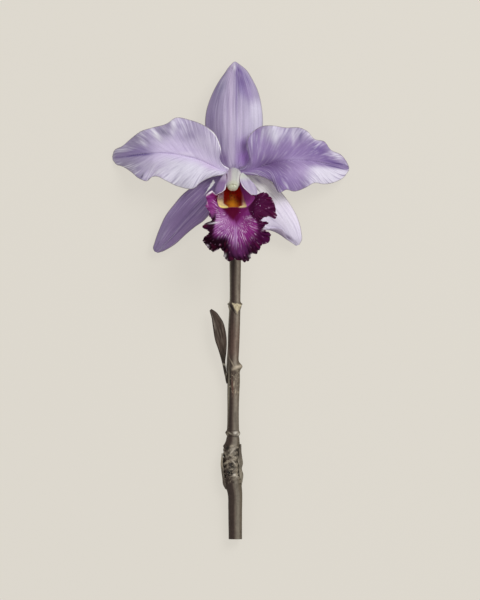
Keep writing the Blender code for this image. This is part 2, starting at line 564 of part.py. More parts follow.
def main():
    for leftover in list(bpy.data.objects):
        bpy.data.objects.remove(leftover)
    sepal = material("sepal", (0.38, 0.32, 0.52), 0.5)
    petal = material("petal", (0.46, 0.38, 0.62), 0.5)
    lip = material("lip", (0.16, 0.02, 0.12), 0.45)
    column = material("column", (0.62, 0.58, 0.6), 0.4)
    cap = material("anther_cap", (0.75, 0.68, 0.5), 0.4)
    wax = material("pollinia", (0.75, 0.55, 0.1), 0.35)
    green = material("ovary", (0.25, 0.3, 0.12), 0.5)
    bark = material("stem", (0.09, 0.065, 0.05), 0.7)
    dry = material("dry_leaf", (0.12, 0.085, 0.06), 0.8)
    husk = material("dry_husk", (0.3, 0.25, 0.19), 0.85)
    parts = [
        make_stem(bark),
        make_ovary(green),
        make_floral_bract(husk),
        make_dorsal_sepal(sepal),
        make_left_lateral_sepal(sepal),
        make_right_lateral_sepal(sepal),
        make_left_petal(petal),
        make_right_petal(petal),
        make_lip(lip),
        make_column(column),
        make_anther_cap(cap),
        make_pollinia(wax),
        make_side_leaf(dry),
        sheath_scale("left_sheath_scale", 160, 40, -190, 21, 0.85, dry),
        sheath_scale("right_sheath_scale", 22, 36, -188, 25, 0.85, husk),
    ]
    seat_on_surface(parts)


main()
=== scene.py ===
"""A cut cattleya orchid, lying on its back with its flower facing up.

Sizes are in millimetres until a mesh is made. The flower's centre is the origin of every outline:
+X is the flower's right, +Y its top, and the stem runs along -Y. It lies on the surface at height 0.
"""

import math

import bpy
import numpy as np
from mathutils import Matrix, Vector


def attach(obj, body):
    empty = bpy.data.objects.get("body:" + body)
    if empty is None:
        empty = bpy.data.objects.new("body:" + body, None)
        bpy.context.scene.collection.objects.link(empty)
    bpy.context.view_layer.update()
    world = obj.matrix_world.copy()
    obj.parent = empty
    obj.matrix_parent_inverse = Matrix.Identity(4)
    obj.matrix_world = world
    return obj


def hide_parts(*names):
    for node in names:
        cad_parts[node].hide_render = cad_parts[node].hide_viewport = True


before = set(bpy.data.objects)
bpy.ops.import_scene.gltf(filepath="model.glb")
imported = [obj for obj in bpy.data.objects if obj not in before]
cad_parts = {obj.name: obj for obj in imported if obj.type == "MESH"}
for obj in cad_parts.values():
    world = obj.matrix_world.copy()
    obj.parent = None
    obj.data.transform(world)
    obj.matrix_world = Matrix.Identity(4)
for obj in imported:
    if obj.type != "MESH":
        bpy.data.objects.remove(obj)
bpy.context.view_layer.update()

# Stem: the woody flower stalk, one grown piece that was cut square at its foot. It has a raised
# collar at each of its three joints, where old bracts fell away, and a short spur. A gnarled knot
# keeps it off the surface.
FLOWER_CENTRE = (1.9775, 77.0377, 0.0)
STEM_AXIS_Z = 5.0
STEM_TOP_Y, STEM_CUT_Y = -36.0, -220.8
STEM_SIDES, STEM_RINGS = 96, 371
JOINT_YS = (-80.4, -117.6, -157.0)
STEM_PROFILE = np.array([
    (STEM_CUT_Y, 0.8, 4.0), (-202.8, 0.7, 4.2), (-193.8, 0.6, 4.4), (-187.2, -0.4, 5.1),
    (-182.4, -0.7, 5.6), (-178.8, -0.9, 5.8), (-175.8, -1.2, 5.8), (-171.6, -1.3, 5.3),
    (-166.8, -1.3, 4.9), (-160.8, -0.7, 4.0), (-153.6, -0.6, 3.6), (-136.8, -0.5, 3.5),
    (-121.8, -0.3, 3.8), (-114, -0.8, 3.6), (-106.8, -0.4, 3.5), (-91.8, 0.1, 3.5),
    (-76.8, 0.6, 3.25), (-53.4, 0.7, 3.45), (-40, 0.6, 3.5), (STEM_TOP_Y, 0.6, 3.0),
])


def smooth(knots, values, at):
    """Values at the given places of a smooth curve through the values at the knots."""
    knots, values, at = (np.asarray(each, float) for each in (knots, values, at))
    slopes = np.gradient(values, knots, axis=0)
    piece = np.clip(np.searchsorted(knots, at, side="right") - 1, 0, len(knots) - 2)
    step = knots[piece + 1] - knots[piece]
    t = (at - knots[piece]) / step
    if values.ndim > 1:
        step, t = step[..., None], t[..., None]
    start = (1 + 2 * t) * (1 - t) ** 2 * values[piece] + t * (1 - t) ** 2 * step * slopes[piece]
    end = t * t * (3 - 2 * t) * values[piece + 1] + t * t * (t - 1) * step * slopes[piece + 1]
    return start + end


def mottle(u, v, seed):
    """Soft random swells from -1 to 1, about one to each unit of u and of v."""
    heights = np.random.default_rng(seed).uniform(-1, 1, (64, 64))
    i, j = np.floor(u).astype(int), np.floor(v).astype(int)
    s, t = u - i, v - j
    s, t = s * s * (3 - 2 * s), t * t * (3 - 2 * t)
    low = heights[i % 64, j % 64] * (1 - s) + heights[(i + 1) % 64, j % 64] * s
    high = heights[i % 64, (j + 1) % 64] * (1 - s) + heights[(i + 1) % 64, (j + 1) % 64] * s
    return low * (1 - t) + high * t


def ramp(value, low, high):
    """0 on the low side, 1 on the high side, and a soft step between them."""
    t = np.clip((value - low) / (high - low), 0, 1)
    return t * t * (3 - 2 * t)


def hill(value, middle, width):
    """1 at the middle, falling off softly on both sides."""
    return np.exp(-(((value - middle) / width) ** 2))


def colour(code):
    """Linear red, green and blue of a colour written as rrggbb."""
    parts = np.array([int(code[i:i + 2], 16) for i in (0, 2, 4)]) / 255
    return np.where(parts < 0.04045, parts / 12.92, ((parts + 0.055) / 1.055) ** 2.4)


def dye(pigment, share, code):
    """The pigment with a share, from 0 to 1, of one colour laid over it."""
    return pigment + np.clip(share, 0, 1)[..., None] * (colour(code) - pigment)


def plain(code, over):
    """One colour for every point of a piece, whose points stand in rows and columns."""
    return np.broadcast_to(colour(code), (*over.shape[:2], 3))


def paint(pigment, layers):
    """The pigment with layers laid over it in turn: each a share, from 0 to 1, and a colour."""
    for share, code in layers:
        pigment = dye(pigment, share, code)
    return pigment


def blotch(pigment, x, y, marks):
    """The pigment with soft marks: (x, y, half length, half width, turn, colour, strength)."""
    for at_x, at_y, long, wide, turned, code, strength in marks:
        c, s = math.cos(math.radians(turned)), math.sin(math.radians(turned))
        along, across = (x - at_x) * c + (y - at_y) * s, (y - at_y) * c - (x - at_x) * s
        pigment = dye(pigment, strength * hill(along, 0, long) * hill(across, 0, wide), code)
    return pigment


def new_piece(name, points, faces, grain, pigment, finish, nodes):
    """A piece of the orchid, with its grain as a UV map and its pigment as a colour attribute."""
    mesh = bpy.data.meshes.new(name)
    mesh.from_pydata(((np.asarray(points) + FLOWER_CENTRE) / 1000).tolist(), [], faces)
    corner = np.empty(len(mesh.loops), int)
    mesh.loops.foreach_get("vertex_index", corner)
    layer = mesh.uv_layers.new(name="grain")
    layer.data.foreach_set("uv", np.asarray(grain)[corner].astype(np.float32).ravel())
    shades = mesh.color_attributes.new("pigment", "FLOAT_COLOR", "POINT")
    filled = np.concatenate([np.clip(pigment, 0.001, 1), np.ones((len(pigment), 1))], axis=1)
    shades.data.foreach_set("color", filled.astype(np.float32).ravel())
    mesh.materials.append(finish)
    mesh.shade_smooth()
    made = bpy.data.objects.new(name, mesh)
    bpy.context.scene.collection.objects.link(made)
    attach(made, "root")
    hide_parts(*nodes)
    return made


def node(tree, kind, inputs, **settings):
    """A node with its settings, and each input given as a value or as another node's output."""
    made = tree.nodes.new(kind)
    for name, value in settings.items():
        setattr(made, name, value)
    for socket, value in inputs.items():
        if isinstance(value, bpy.types.NodeSocket):
            tree.links.new(value, made.inputs[socket])
        else:
            made.inputs[socket].default_value = value
    return made


def finish_of(name, streaks, contrast, roughness, relief, speck, share, **shader_values):
    """A finish of pigment streaked along the grain, with specks, and with relief from both.

    streaks gives how many there are to each unit of the grain's u and v, speck the size of a
    speck in millimetres, share the specks' part against the streaks', and relief millimetres.
    """
    made = bpy.data.materials.new(name)
    made.use_nodes = True
    tree = made.node_tree
    shader = tree.nodes["Principled BSDF"]
    pigment = node(tree, "ShaderNodeAttribute", {}, attribute_name="pigment")
    grain = node(tree, "ShaderNodeUVMap", {}, uv_map="grain")
    stretch = node(tree, "ShaderNodeMapping", {
        "Vector": grain.outputs[0], "Scale": (*streaks, 1.0)})
    streak = node(tree, "ShaderNodeTexNoise", {
        "Vector": stretch.outputs[0], "Scale": 1.0, "Detail": 3.0})
    place = node(tree, "ShaderNodeTexCoord", {})
    dots = node(tree, "ShaderNodeTexNoise", {
        "Vector": place.outputs["Object"], "Scale": 500 / speck, "Detail": 3.0})
    both = node(tree, "ShaderNodeMix", {0: share, 2: streak.outputs[0], 3: dots.outputs[0]})
    spread = {"Value": both.outputs[0], "From Min": 0.3, "From Max": 0.7}
    level = node(tree, "ShaderNodeMapRange", {
        **spread, "To Min": 1 - contrast, "To Max": 1 + contrast})
    tone = node(tree, "ShaderNodeVectorMath", {
        0: pigment.outputs["Color"], "Scale": level.outputs[0]}, operation="SCALE")
    rough = node(tree, "ShaderNodeMapRange", {
        **spread, "To Min": roughness + 0.08, "To Max": roughness - 0.08})
    bump = node(tree, "ShaderNodeBump", {"Height": both.outputs[0], "Distance": relief / 1000})
    tree.links.new(tone.outputs[0], shader.inputs["Base Color"])
    tree.links.new(rough.outputs[0], shader.inputs["Roughness"])
    tree.links.new(bump.outputs[0], shader.inputs["Normal"])
    for socket, value in shader_values.items():
        shader.inputs[socket.replace("_", " ")].default_value = value
    return made


def ring_body(rings, pigment, caps, dip, code):
    """Points, faces and pigment of a stack of rings, closed by smaller rings that dip inwards.

    caps are the smaller rings' sizes as shares of the end ring, and code is their colour.
    """
    for end, inner in ((0, 1), (-1, -2)):
        middle = rings[end].mean(axis=0)
        run = rings[inner].mean(axis=0) - middle
        run = run / np.linalg.norm(run)
        domed = np.array([middle + share * (rings[end] - middle) + dip * (1 - share) * run
                          for share in caps])
        shades = np.broadcast_to(colour(code), domed.shape)
        if end == 0:
            rings = np.concatenate([domed[::-1], rings])
            pigment = np.concatenate([shades, pigment])
        else:
            rings, pigment = np.concatenate([rings, domed]), np.concatenate([pigment, shades])
    count, sides = rings.shape[:2]
    index = np.arange(count * sides).reshape(count, sides)
    after = np.roll(index, -1, axis=1)
    quads = np.stack([index[:-1], index[1:], after[1:], after[:-1]], axis=-1).reshape(-1, 4)
    faces = quads.tolist() + [index[0].tolist(), index[-1][::-1].tolist()]
    return rings, faces, pigment.reshape(-1, 3)


def round_grain(rings, laps, along):
    """The grain of a stack of rings: laps units round it, and the given places along it."""
    lap = np.linspace(0, laps, rings.shape[1], endpoint=False)
    return np.stack([lap + 0 * along, along], axis=-1).reshape(-1, 2)


def swelling(turn, y, at_turn, at_y, height, wide, tall):
    """A rounded swelling of the stem; wide is its half width in degrees, tall in millimetres."""
    away = (turn - math.radians(at_turn) + np.pi) % (2 * np.pi) - np.pi
    return height * hill(away, 0, math.radians(wide)) * hill(y, at_y, tall)


def stem_relief(turn, y):
    """How far the stem stands out at its joints, spur and knot."""
    relief = 0.75 * hill(y, JOINT_YS[0], 1.5) + swelling(turn, y, 80, -81.5, 0.5, 32, 2.6)
    relief = relief + 0.35 * hill(y, JOINT_YS[1], 2.2)
    relief = relief + swelling(turn, y, 12, -116.6, 1.9, 30, 1.9)
    relief = relief + swelling(turn, y, 75, -116, 0.7, 35, 2.4)
    relief = relief + 0.7 * hill(y, JOINT_YS[2], 1.1)
    draw = np.random.default_rng(7)
    for _ in range(22):
        place = draw.uniform(-25, 205), draw.uniform(-188, -163)
        size = draw.uniform(-0.9, 0.9), draw.uniform(16, 34), draw.uniform(1.6, 3.2)
        relief = relief + swelling(turn, y, *place, *size)
    return relief


def bark_relief(turn, y):
    """Fibres of the bark, the joints' sharp collars, and the knot's folds and pits."""
    lap = turn / (2 * np.pi)
    fine = 0.07 * mottle(lap * 64, y / 9, 11) + 0.04 * mottle(lap * 128, y / 4, 12)
    collar = JOINT_YS[0] + 1.3 - 5.4 * hill(turn, math.radians(76), 0.5)
    fine = fine + 0.42 * hill(y, collar, 0.55) - 0.3 * hill(y, collar - 1.1, 0.5)
    ridge = -108 - 12 * ramp(turn, math.radians(150), math.radians(95))
    fine = fine + 0.45 * hill(y, ridge, 1.0) * swelling(turn, y, 122, -114, 1, 32, 9)
    fine = fine - 0.3 * hill(y, JOINT_YS[2] - 1.9, 0.5)
    gnarl = ramp(y, -191, -184) * ramp(-y, 161, 167)
    folds = np.sin(2 * np.pi * (y / 3.1 + turn * 0.75) + 2 * mottle(lap * 8, y / 4, 13))
    fine = fine + gnarl * (0.3 * folds + 0.26 * mottle(lap * 16, y / 1.9, 14))
    fine = fine + gnarl * 0.14 * mottle(lap * 32, y / 0.9, 15)
    for at_turn, at_y, height, wide, tall in (
        (2, -79.2, 0.5, 20, 0.9), (178, -79.2, 0.5, 20, 0.9), (128, -127, -0.5, 7, 11),
        (100, -156.2, 0.5, 9, 0.9), (62, -156.2, 0.6, 9, 0.9), (168, -156.2, 0.6, 9, 0.9),
        (118, -165.6, -0.9, 10, 1.1), (92, -176.4, -1.0, 9, 1.4), (112, -180.6, -1.1, 11, 1.3),
        (70, -182.6, 0.8, 12, 0.9), (84, -182.2, 0.6, 8, 0.8), (96, -164.6, 0.5, 16, 1.6),
    ):
        fine = fine + swelling(turn, y, at_turn, at_y, height, wide, tall)
    return fine


y = np.linspace(STEM_CUT_Y, STEM_TOP_Y, STEM_RINGS)[:, None]
turn = np.linspace(0, 2 * np.pi, STEM_SIDES, endpoint=False)[None]
middle, half = np.moveaxis(smooth(STEM_PROFILE[:, 0], STEM_PROFILE[:, 1:], y), -1, 0)
crust = bark_relief(turn, y)
radius = half + stem_relief(turn, y) + crust
x = middle + radius * np.cos(turn)
y, turn, off = y + 0 * x, turn + 0 * x, x - middle
rings = np.stack([x, y, np.maximum(STEM_AXIS_Z + radius * np.sin(turn), 0)], axis=-1)

# Grey-brown bark, redder between the top joints. Its darker left side is painted shade and the pale
# band down its right flank a painted highlight, toned down towards the foot; the near-black patch
# just under the lip is the lip's painted shadow.
pigment = paint(plain("5a4d43", rings), [
    (ramp(-off, -0.2, 1.0), "392c26"),
    (0.9 * hill(off, 1.6, 1.0), "8b8173"),
    (ramp(off, 2.5, 3.4), "5b5142"),
    (0.7 * ramp(y, -64, -54) * hill(off, -0.9, 1.1), "1d1611"),
    (0.8 * hill(np.cos(turn), -1, 0.2) * ramp(y, -122, -112), "9a9585"),
    (0.75 * ramp(-y, 130, 150) * hill(off, 1.6, 1.4), "6f685c"),
    (0.45 * ramp(-y, 84, 100) * ramp(y, -116, -106), "664a41"),
    (0.35 * mottle(turn * 3, y / 7, 16), "33271f"),
])
# Peeling skin below the second joint, and the knot's crossing fibres.
knotted = ramp(y, -186, -182) * ramp(-y, 162, 166)
flaky = ramp(y, -137, -131) * ramp(-y, 118, 120) * hill(x, 0.9, 2.6)
net = hill(mottle(x * 1.1 + 7, y * 0.75, 17), 0, 0.13)
pigment = paint(pigment, [
    (0.5 * flaky, "4d4036"),
    (0.7 * net * flaky, "b1a58f"),
    (0.5 * knotted * mottle(x, y * 0.8, 19), "2a211a"),
])
rope = hill(mottle(0.7 * x + 0.45 * y, 0.5 * y, 18), 0, 0.1)
pigment = paint(pigment, [
    (0.65 * rope * knotted, "aba08e"),
    # The bark's hollows are darkened as painted shade.
    (ramp(-crust, 0.12, 0.45), "1f1712"),
])
# Raised bark is painted paler, a painted highlight on its crests, except at the joints, and the top
# joint carries a cream scar.
joints = hill(y, -80.5, 3) + hill(y, -157, 2)
pigment = dye(pigment, 0.75 * ramp(crust, 0.2, 0.6) * (1 - np.clip(joints, 0, 1)), "a59a86")
scar = ramp(0.52 * (y + 84.8) - np.abs(x - 1.9) + 0.35 * mottle(x, y * 1.2, 22), -0.3, 0.3)
scar = scar * ramp(-y + 0.7 * mottle(x * 1.1, 0 * y, 23), 78.8, 79.6)
pigment = blotch(pigment, x, y, [
    (-1.0, -82.0, 3.2, 0.5, -54, "1d130f", 0.9), (4.4, -82.6, 2.0, 0.45, 60, "1d130f", 0.8),
    (-2.6, -81.4, 1.4, 0.35, -62, "a39a88", 0.8), (1.2, -78.2, 2.4, 0.3, -8, "2a1f19", 0.6),
])
pigment = paint(pigment, [
    (0.95 * scar, "cbbf9e"),
    (0.6 * scar * ramp(mottle(x * 1.7, y * 1.7, 20), 0.0, 0.5), "8a7a60"),
])
# The stub at the second joint, the split below it, and the third joint and the knot's hollows, whose
# near-black pits are painted shade.
pigment = blotch(pigment, x, y, [
    (2.4, -117.0, 2.6, 0.9, 14, "c9bba6", 0.9), (4.6, -117.2, 1.2, 1.0, 0, "8d8272", 0.8),
    (0.2, -118.0, 1.4, 0.6, 30, "b9ab95", 0.8), (-1.2, -114.6, 3.2, 0.3, -62, "a89b86", 0.8),
    (1.0, -120.6, 1.6, 1.2, 30, "3b2f28", 0.7), (0.0, -127.5, 1.5, 0.5, 80, "b9ac96", 0.8),
    (1.0, -132, 1.3, 0.35, 80, "b5a791", 0.8), (-0.9, -129, 5, 0.45, 95, "6b4338", 0.6),
    (-2.4, -128, 12, 0.45, 89, "1a120e", 0.95), (-3.3, -132, 16, 0.55, 89, "8f8775", 0.8),
    (-2.4, -99, 14, 0.9, 90, "33261f", 0.6), (-2.3, -148, 9, 0.5, 90, "2b211b", 0.7),
    (-2.4, -157.0, 1.5, 0.35, -28, "a39a88", 0.9), (1.0, -156.7, 1.1, 0.8, 20, "dad3c6", 0.95),
    (2.8, -157.7, 0.9, 0.5, 40, "cfc8ba", 0.9), (-4.3, -157.8, 0.8, 0.7, 60, "9a907d", 0.8),
    (0.0, -155.4, 3.2, 0.3, 0, "2b211b", 0.7), (-1.0, -158.9, 2.6, 0.35, -6, "2b211b", 0.7),
    (-1.0, -166.5, 1.8, 2.4, -35, "958c7f", 0.85), (-1.2, -168.0, 2.6, 0.35, 50, "c4bbab", 0.9),
    (-4.1, -165.8, 0.9, 1.1, 0, "0f0b08", 0.95), (-5.0, -170, 2.4, 0.4, -68, "a69c8b", 0.8),
    (-0.4, -171.0, 3.4, 0.35, -24, "a59b8a", 0.8), (0.2, -174.8, 2.6, 0.35, -48, "c0b6a5", 0.9),
    (-1.2, -176.5, 1.2, 1.1, 30, "0f0b08", 0.95), (-1.6, -178.6, 1.7, 0.4, 16, "b3a998", 0.85),
    (-2.2, -181.0, 1.6, 1.3, -20, "0a0705", 1.0), (0.3, -182.0, 0.9, 0.7, 30, "d9d1c3", 0.95),
    (1.7, -182.9, 0.8, 0.5, 0, "c4bbab", 0.9), (-0.2, -184.6, 2.4, 0.4, -12, "6d6253", 0.7),
    (3.4, -177, 5, 1.8, 80, "827866", 0.7), (3.6, -167.5, 3.4, 0.6, 90, "1f1712", 0.8),
])
bark = finish_of(
    "bark", streaks=(1.4, 0.5), contrast=0.28, roughness=0.62, relief=0.12, speck=0.8, share=0.45,
    Specular_IOR_Level=0.25)
rings, faces, pigment = ring_body(rings, pigment, caps=(0.93, 0.6, 0.2), dip=0.4, code="8f826e")
grain = round_grain(rings, 60, rings[..., 1] / 10)
stem = new_piece("woody_stem", rings.reshape(-1, 3), faces, grain, pigment, bark, ["stem"])


# Corky warts: the stem's breathing pores, which stand out as small dots of dry cork. They grow
# out of the bark, thickly on the knot and here and there above it.
def beads_on(name, surface, where, amount, radius, height, seed, finish):
    """Small beads strewn over a piece, as one plain mesh.

    where is each point's share of them, from 0 to 1, amount how many there are at most to a
    square centimetre, radius in millimetres, and height a share of the radius.
    """
    layer = surface.data.attributes.new("bead_share", "FLOAT", "POINT")
    layer.data.foreach_set("value", np.asarray(where, np.float32).ravel())
    tree = bpy.data.node_groups.new(name, "GeometryNodeTree")
    tree.interface.new_socket("Surface", in_out="INPUT", socket_type="NodeSocketGeometry")
    chosen = {}
    for label, kind, value in (
        ("Beads per square centimetre", "Float", amount), ("Radius in millimetres", "Float", radius),
        ("Height as a share of radius", "Float", height), ("Seed", "Int", seed),
    ):
        socket = tree.interface.new_socket(label, in_out="INPUT", socket_type="NodeSocket" + kind)
        chosen[socket.identifier] = value
    tree.interface.new_socket("Beads", in_out="OUTPUT", socket_type="NodeSocketGeometry")

    given = node(tree, "NodeGroupInput", {}).outputs
    share = node(tree, "GeometryNodeInputNamedAttribute", {"Name": "bead_share"}, data_type="FLOAT")
    dense = node(tree, "ShaderNodeMath", {0: given[1], 1: 10000.0}, operation="MULTIPLY")
    dense = node(tree, "ShaderNodeMath", {
        0: dense.outputs[0], 1: share.outputs[0]}, operation="MULTIPLY")
    points = node(tree, "GeometryNodeDistributePointsOnFaces", {
        "Mesh": given[0], "Density": dense.outputs[0], "Seed": given[4]})
    ball = node(tree, "GeometryNodeMeshIcoSphere", {"Radius": 0.001, "Subdivisions": 2})
    high = node(tree, "ShaderNodeMath", {0: given[2], 1: given[3]}, operation="MULTIPLY")
    shape = node(tree, "ShaderNodeCombineXYZ", {0: given[2], 1: given[2], 2: high.outputs[0]})
    vary = node(tree, "FunctionNodeRandomValue", {
        2: 0.5, 3: 1.25, "Seed": given[4]}, data_type="FLOAT")
    scale = node(tree, "ShaderNodeVectorMath", {
        0: shape.outputs[0], "Scale": vary.outputs[1]}, operation="SCALE")
    strewn = node(tree, "GeometryNodeInstanceOnPoints", {
        "Points": points.outputs["Points"], "Instance": ball.outputs[0],
        "Rotation": points.outputs["Rotation"], "Scale": scale.outputs[0]})
    real = node(tree, "GeometryNodeRealizeInstances", {0: strewn.outputs[0]})
    soft = node(tree, "GeometryNodeSetShadeSmooth", {0: real.outputs[0]})
    done = node(tree, "GeometryNodeSetMaterial", {0: soft.outputs[0], "Material": finish})
    node(tree, "NodeGroupOutput", {0: done.outputs[0]})

    ground = bpy.data.objects.new(name + "_ground", surface.data.copy())
    bpy.context.scene.collection.objects.link(ground)
    modifier = ground.modifiers.new("beads", "NODES")
    modifier.node_group = tree
    for identifier, value in chosen.items():
        modifier[identifier] = value
    graph = bpy.context.evaluated_depsgraph_get()
    mesh = bpy.data.meshes.new_from_object(ground.evaluated_get(graph))
    bpy.data.objects.remove(ground)
    surface.data.attributes.remove(surface.data.attributes["bead_share"])
    mesh.materials.clear()
    mesh.materials.append(finish)
    made = bpy.data.objects.new(name, mesh)
    bpy.context.scene.collection.objects.link(made)
    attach(made, "root")
    return made


def grained(name, dark, light, size, roughness, relief):
    """A finish that wanders between two colours in grains of the given size in millimetres."""
    made = bpy.data.materials.new(name)
    made.use_nodes = True
    tree = made.node_tree
    shader = tree.nodes["Principled BSDF"]
    place = node(tree, "ShaderNodeTexCoord", {})
    grains = node(tree, "ShaderNodeTexNoise", {
        "Vector": place.outputs["Object"], "Scale": 500 / size, "Detail": 3.0})
    tone = node(tree, "ShaderNodeValToRGB", {0: grains.outputs[0]})
    for stop, at, code in zip(tone.color_ramp.elements, (0.35, 0.65), (dark, light)):
        stop.position, stop.color = at, (*colour(code), 1)
    rough = node(tree, "ShaderNodeMapRange", {
        "Value": grains.outputs[0], "To Min": roughness - 0.1, "To Max": roughness + 0.1})
    bump = node(tree, "ShaderNodeBump", {"Height": grains.outputs[0], "Distance": relief / 1000})
    tree.links.new(tone.outputs[0], shader.inputs["Base Color"])
    tree.links.new(rough.outputs[0], shader.inputs["Roughness"])
    tree.links.new(bump.outputs[0], shader.inputs["Normal"])
    return made


cork = grained("cork", dark="54483c", light="b3a68f", size=0.5, roughness=0.75, relief=0.1)
y, z = rings[..., 1], rings[..., 2]
warty = ramp(y, -188, -184) * ramp(-y, 162, 166)
warty = warty + 0.6 * ramp(y, -136, -132) * ramp(-y, 119, 122)
warty = warty * (z > 2.5) * ramp(y, STEM_CUT_Y + 2, STEM_CUT_Y + 6)
beads_on("corky_warts", stem, warty, amount=18.0, radius=0.32, height=0.6, seed=21,
         finish=cork)


# Side leaf: a small bract that dried on the stem. It is stiff and papery, folded along its midrib,
# and grows from the short spur at the stem's left side.
LEAF_THICKNESS, MARGIN_HALF_THICKNESS = 0.8, 0.12


def smooth_line(points, at):
    """Points at fractions of the length of a smooth line through the given points."""
    points = np.asarray(points, float)
    chords = np.linalg.norm(np.diff(points, axis=0), axis=1)
    return smooth(np.concatenate([[0.0], np.cumsum(chords)]) / chords.sum(), points, at)


def blade_plan(midrib, left, right, rows, columns):
    """A blade's plan, its places along and across, and each point's way in from the margin.

    The places across run from -1 at the left margin to 1 at the right, and crowd towards both.
    """
    along = np.linspace(0, 1, rows)[:, None]
    reach = np.linspace(-1, 1, columns)[None]
    across = np.sign(reach) * (1 - (1 - np.abs(reach)) ** 1.35)
    middle = smooth_line(midrib, along[:, 0])[:, None]
    sides = [smooth_line(edge, along[:, 0])[:, None] for edge in (left, right)]
    edge = np.where(across[..., None] < 0, sides[0], sides[1])
    inset = (1 - np.abs(across)) * np.linalg.norm(edge - middle, axis=-1)
    plan = middle + np.abs(across)[..., None] * (edge - middle)
    return plan, along + 0 * across, across + 0 * along, inset


def with_height(plan, height):
    """The points of a plan, each at its height."""
    return np.concatenate([plan, np.broadcast_to(height, plan.shape[:2])[..., None]], axis=-1)


def new_blade(name, grid, thickness, across, grain, face, reverse, finish, nodes):
    """A closed thin blade about a grid of points, with the pigment of its face and its reverse.

    It thins towards its margins and its tip.
    """
    rows, columns = grid.shape[:2]
    lift = np.cross(np.gradient(grid, axis=1), np.gradient(grid, axis=0))
    lift /= np.maximum(np.linalg.norm(lift, axis=-1, keepdims=True), 1e-9)
    along = np.linspace(0, 1, rows)[:, None]
    body = (1 - across**6) * (1 - along**12)
    half = MARGIN_HALF_THICKNESS + (thickness / 2 - MARGIN_HALF_THICKNESS) * body
    half = lift * half[..., None]
    points = np.concatenate([(grid + half).reshape(-1, 3), (grid - half).reshape(-1, 3)])
    index = np.arange(rows * columns).reshape(rows, columns)
    a, b, c, d = index[:-1, :-1], index[:-1, 1:], index[1:, 1:], index[1:, :-1]
    front = np.stack([a, b, c, d], axis=-1).reshape(-1, 4)
    back = np.stack([a, d, c, b], axis=-1).reshape(-1, 4) + rows * columns
    ring = np.concatenate([index[0], index[1:, -1], index[-1, -2::-1], index[-2:0:-1, 0]])
    after = np.roll(ring, -1)
    rim = np.stack([after, ring, ring + rows * columns, after + rows * columns], axis=-1)
    faces = np.concatenate([front, back, rim]).tolist()
    shades = np.concatenate([face.reshape(-1, 3), reverse.reshape(-1, 3)])
    grain = np.stack(grain, axis=-1).reshape(-1, 2)
    return new_piece(
        name, points, faces, np.concatenate([grain, grain]), shades, finish, nodes)


midrib = [
    (-4.0, -127), (-4.9, -121.5), (-6.1, -115), (-7.6, -107), (-9.3, -98), (-11.6, -90),
    (-14.2, -82.6),
]
left = [
    (-4.5, -127), (-5.9, -121), (-7.1, -115), (-9.4, -106.8), (-11.4, -100.8), (-12.6, -93.6),
    (-13.5, -87.6), (-14.6, -83.2),
]
right = [
    (-3.5, -127), (-4.1, -122), (-5.3, -115), (-4.6, -108), (-4.4, -101), (-5.2, -94.8), (-6.6, -90),
    (-8.4, -87), (-10.8, -84), (-13.5, -82.2),
]
plan, along, across, inset = blade_plan(midrib, left, right, rows=121, columns=41)
lift = smooth([0, 0.25, 0.6, 1], [5.6, 6.6, 8.4, 7.6], along)
height = lift + smooth([0, 0.3, 0.6, 1], [0, 0.2, 1.1, 0.1], along) * np.abs(across)
height = height + 0.12 * mottle(across * 7, along * 6, 31) + 0.25 * hill(across, 0, 0.1)
x, y = plan[..., 0], plan[..., 1]
pigment = plain("4a3d35", x)
flecks = mottle(across * 6, along * 9, 33) + 0.6 * mottle(across * 14, along * 16, 34)
pigment = paint(pigment, [
    (0.9 * hill(across, -0.45, 0.45) * ramp(along, 0.5, 0.7), "453c35"),
    (0.6 * ramp(flecks, 0.1, 0.9) * ramp(along, 0.3, 0.5), "70665b"),
    (0.8 * ramp(-flecks, 0.1, 0.9), "31271f"),
    (0.8 * ramp(-along, -0.55, -0.3), "29241c"),
])
# A painted highlight of sheen, lighter on the left half near the tip.
painted_sheen = hill(across, -0.35, 0.4) * ramp(along, 0.7, 0.82) * ramp(-along, -1, -0.9)
pigment = paint(pigment, [
    (0.8 * painted_sheen * (0.5 + 0.5 * ramp(flecks, -0.3, 0.6)), "887d72"),
    (0.8 * hill(inset, 0, 0.35), "231b16"),
    (0.5 * hill(across, 0.1, 0.07), "271e19"),
])
pigment = blotch(pigment, x, y, [
    (-5.9, -115.6, 1.1, 0.5, -30, "9a9484", 0.9), (-4.6, -121, 4, 0.3, 74, "8d8676", 0.6),
])
papery = finish_of(
    "papery_leaf", streaks=(2.2, 0.12), contrast=0.22, roughness=0.7, relief=0.1, speck=0.7,
    share=0.3, Specular_IOR_Level=0.15)
new_blade(
    "dry_side_leaf", with_height(plan, height), LEAF_THICKNESS, across, (across * 5, along * 45),
    pigment, dye(pigment, 0.5 + 0 * x, "3a2f28"), papery, ["side_leaf"])


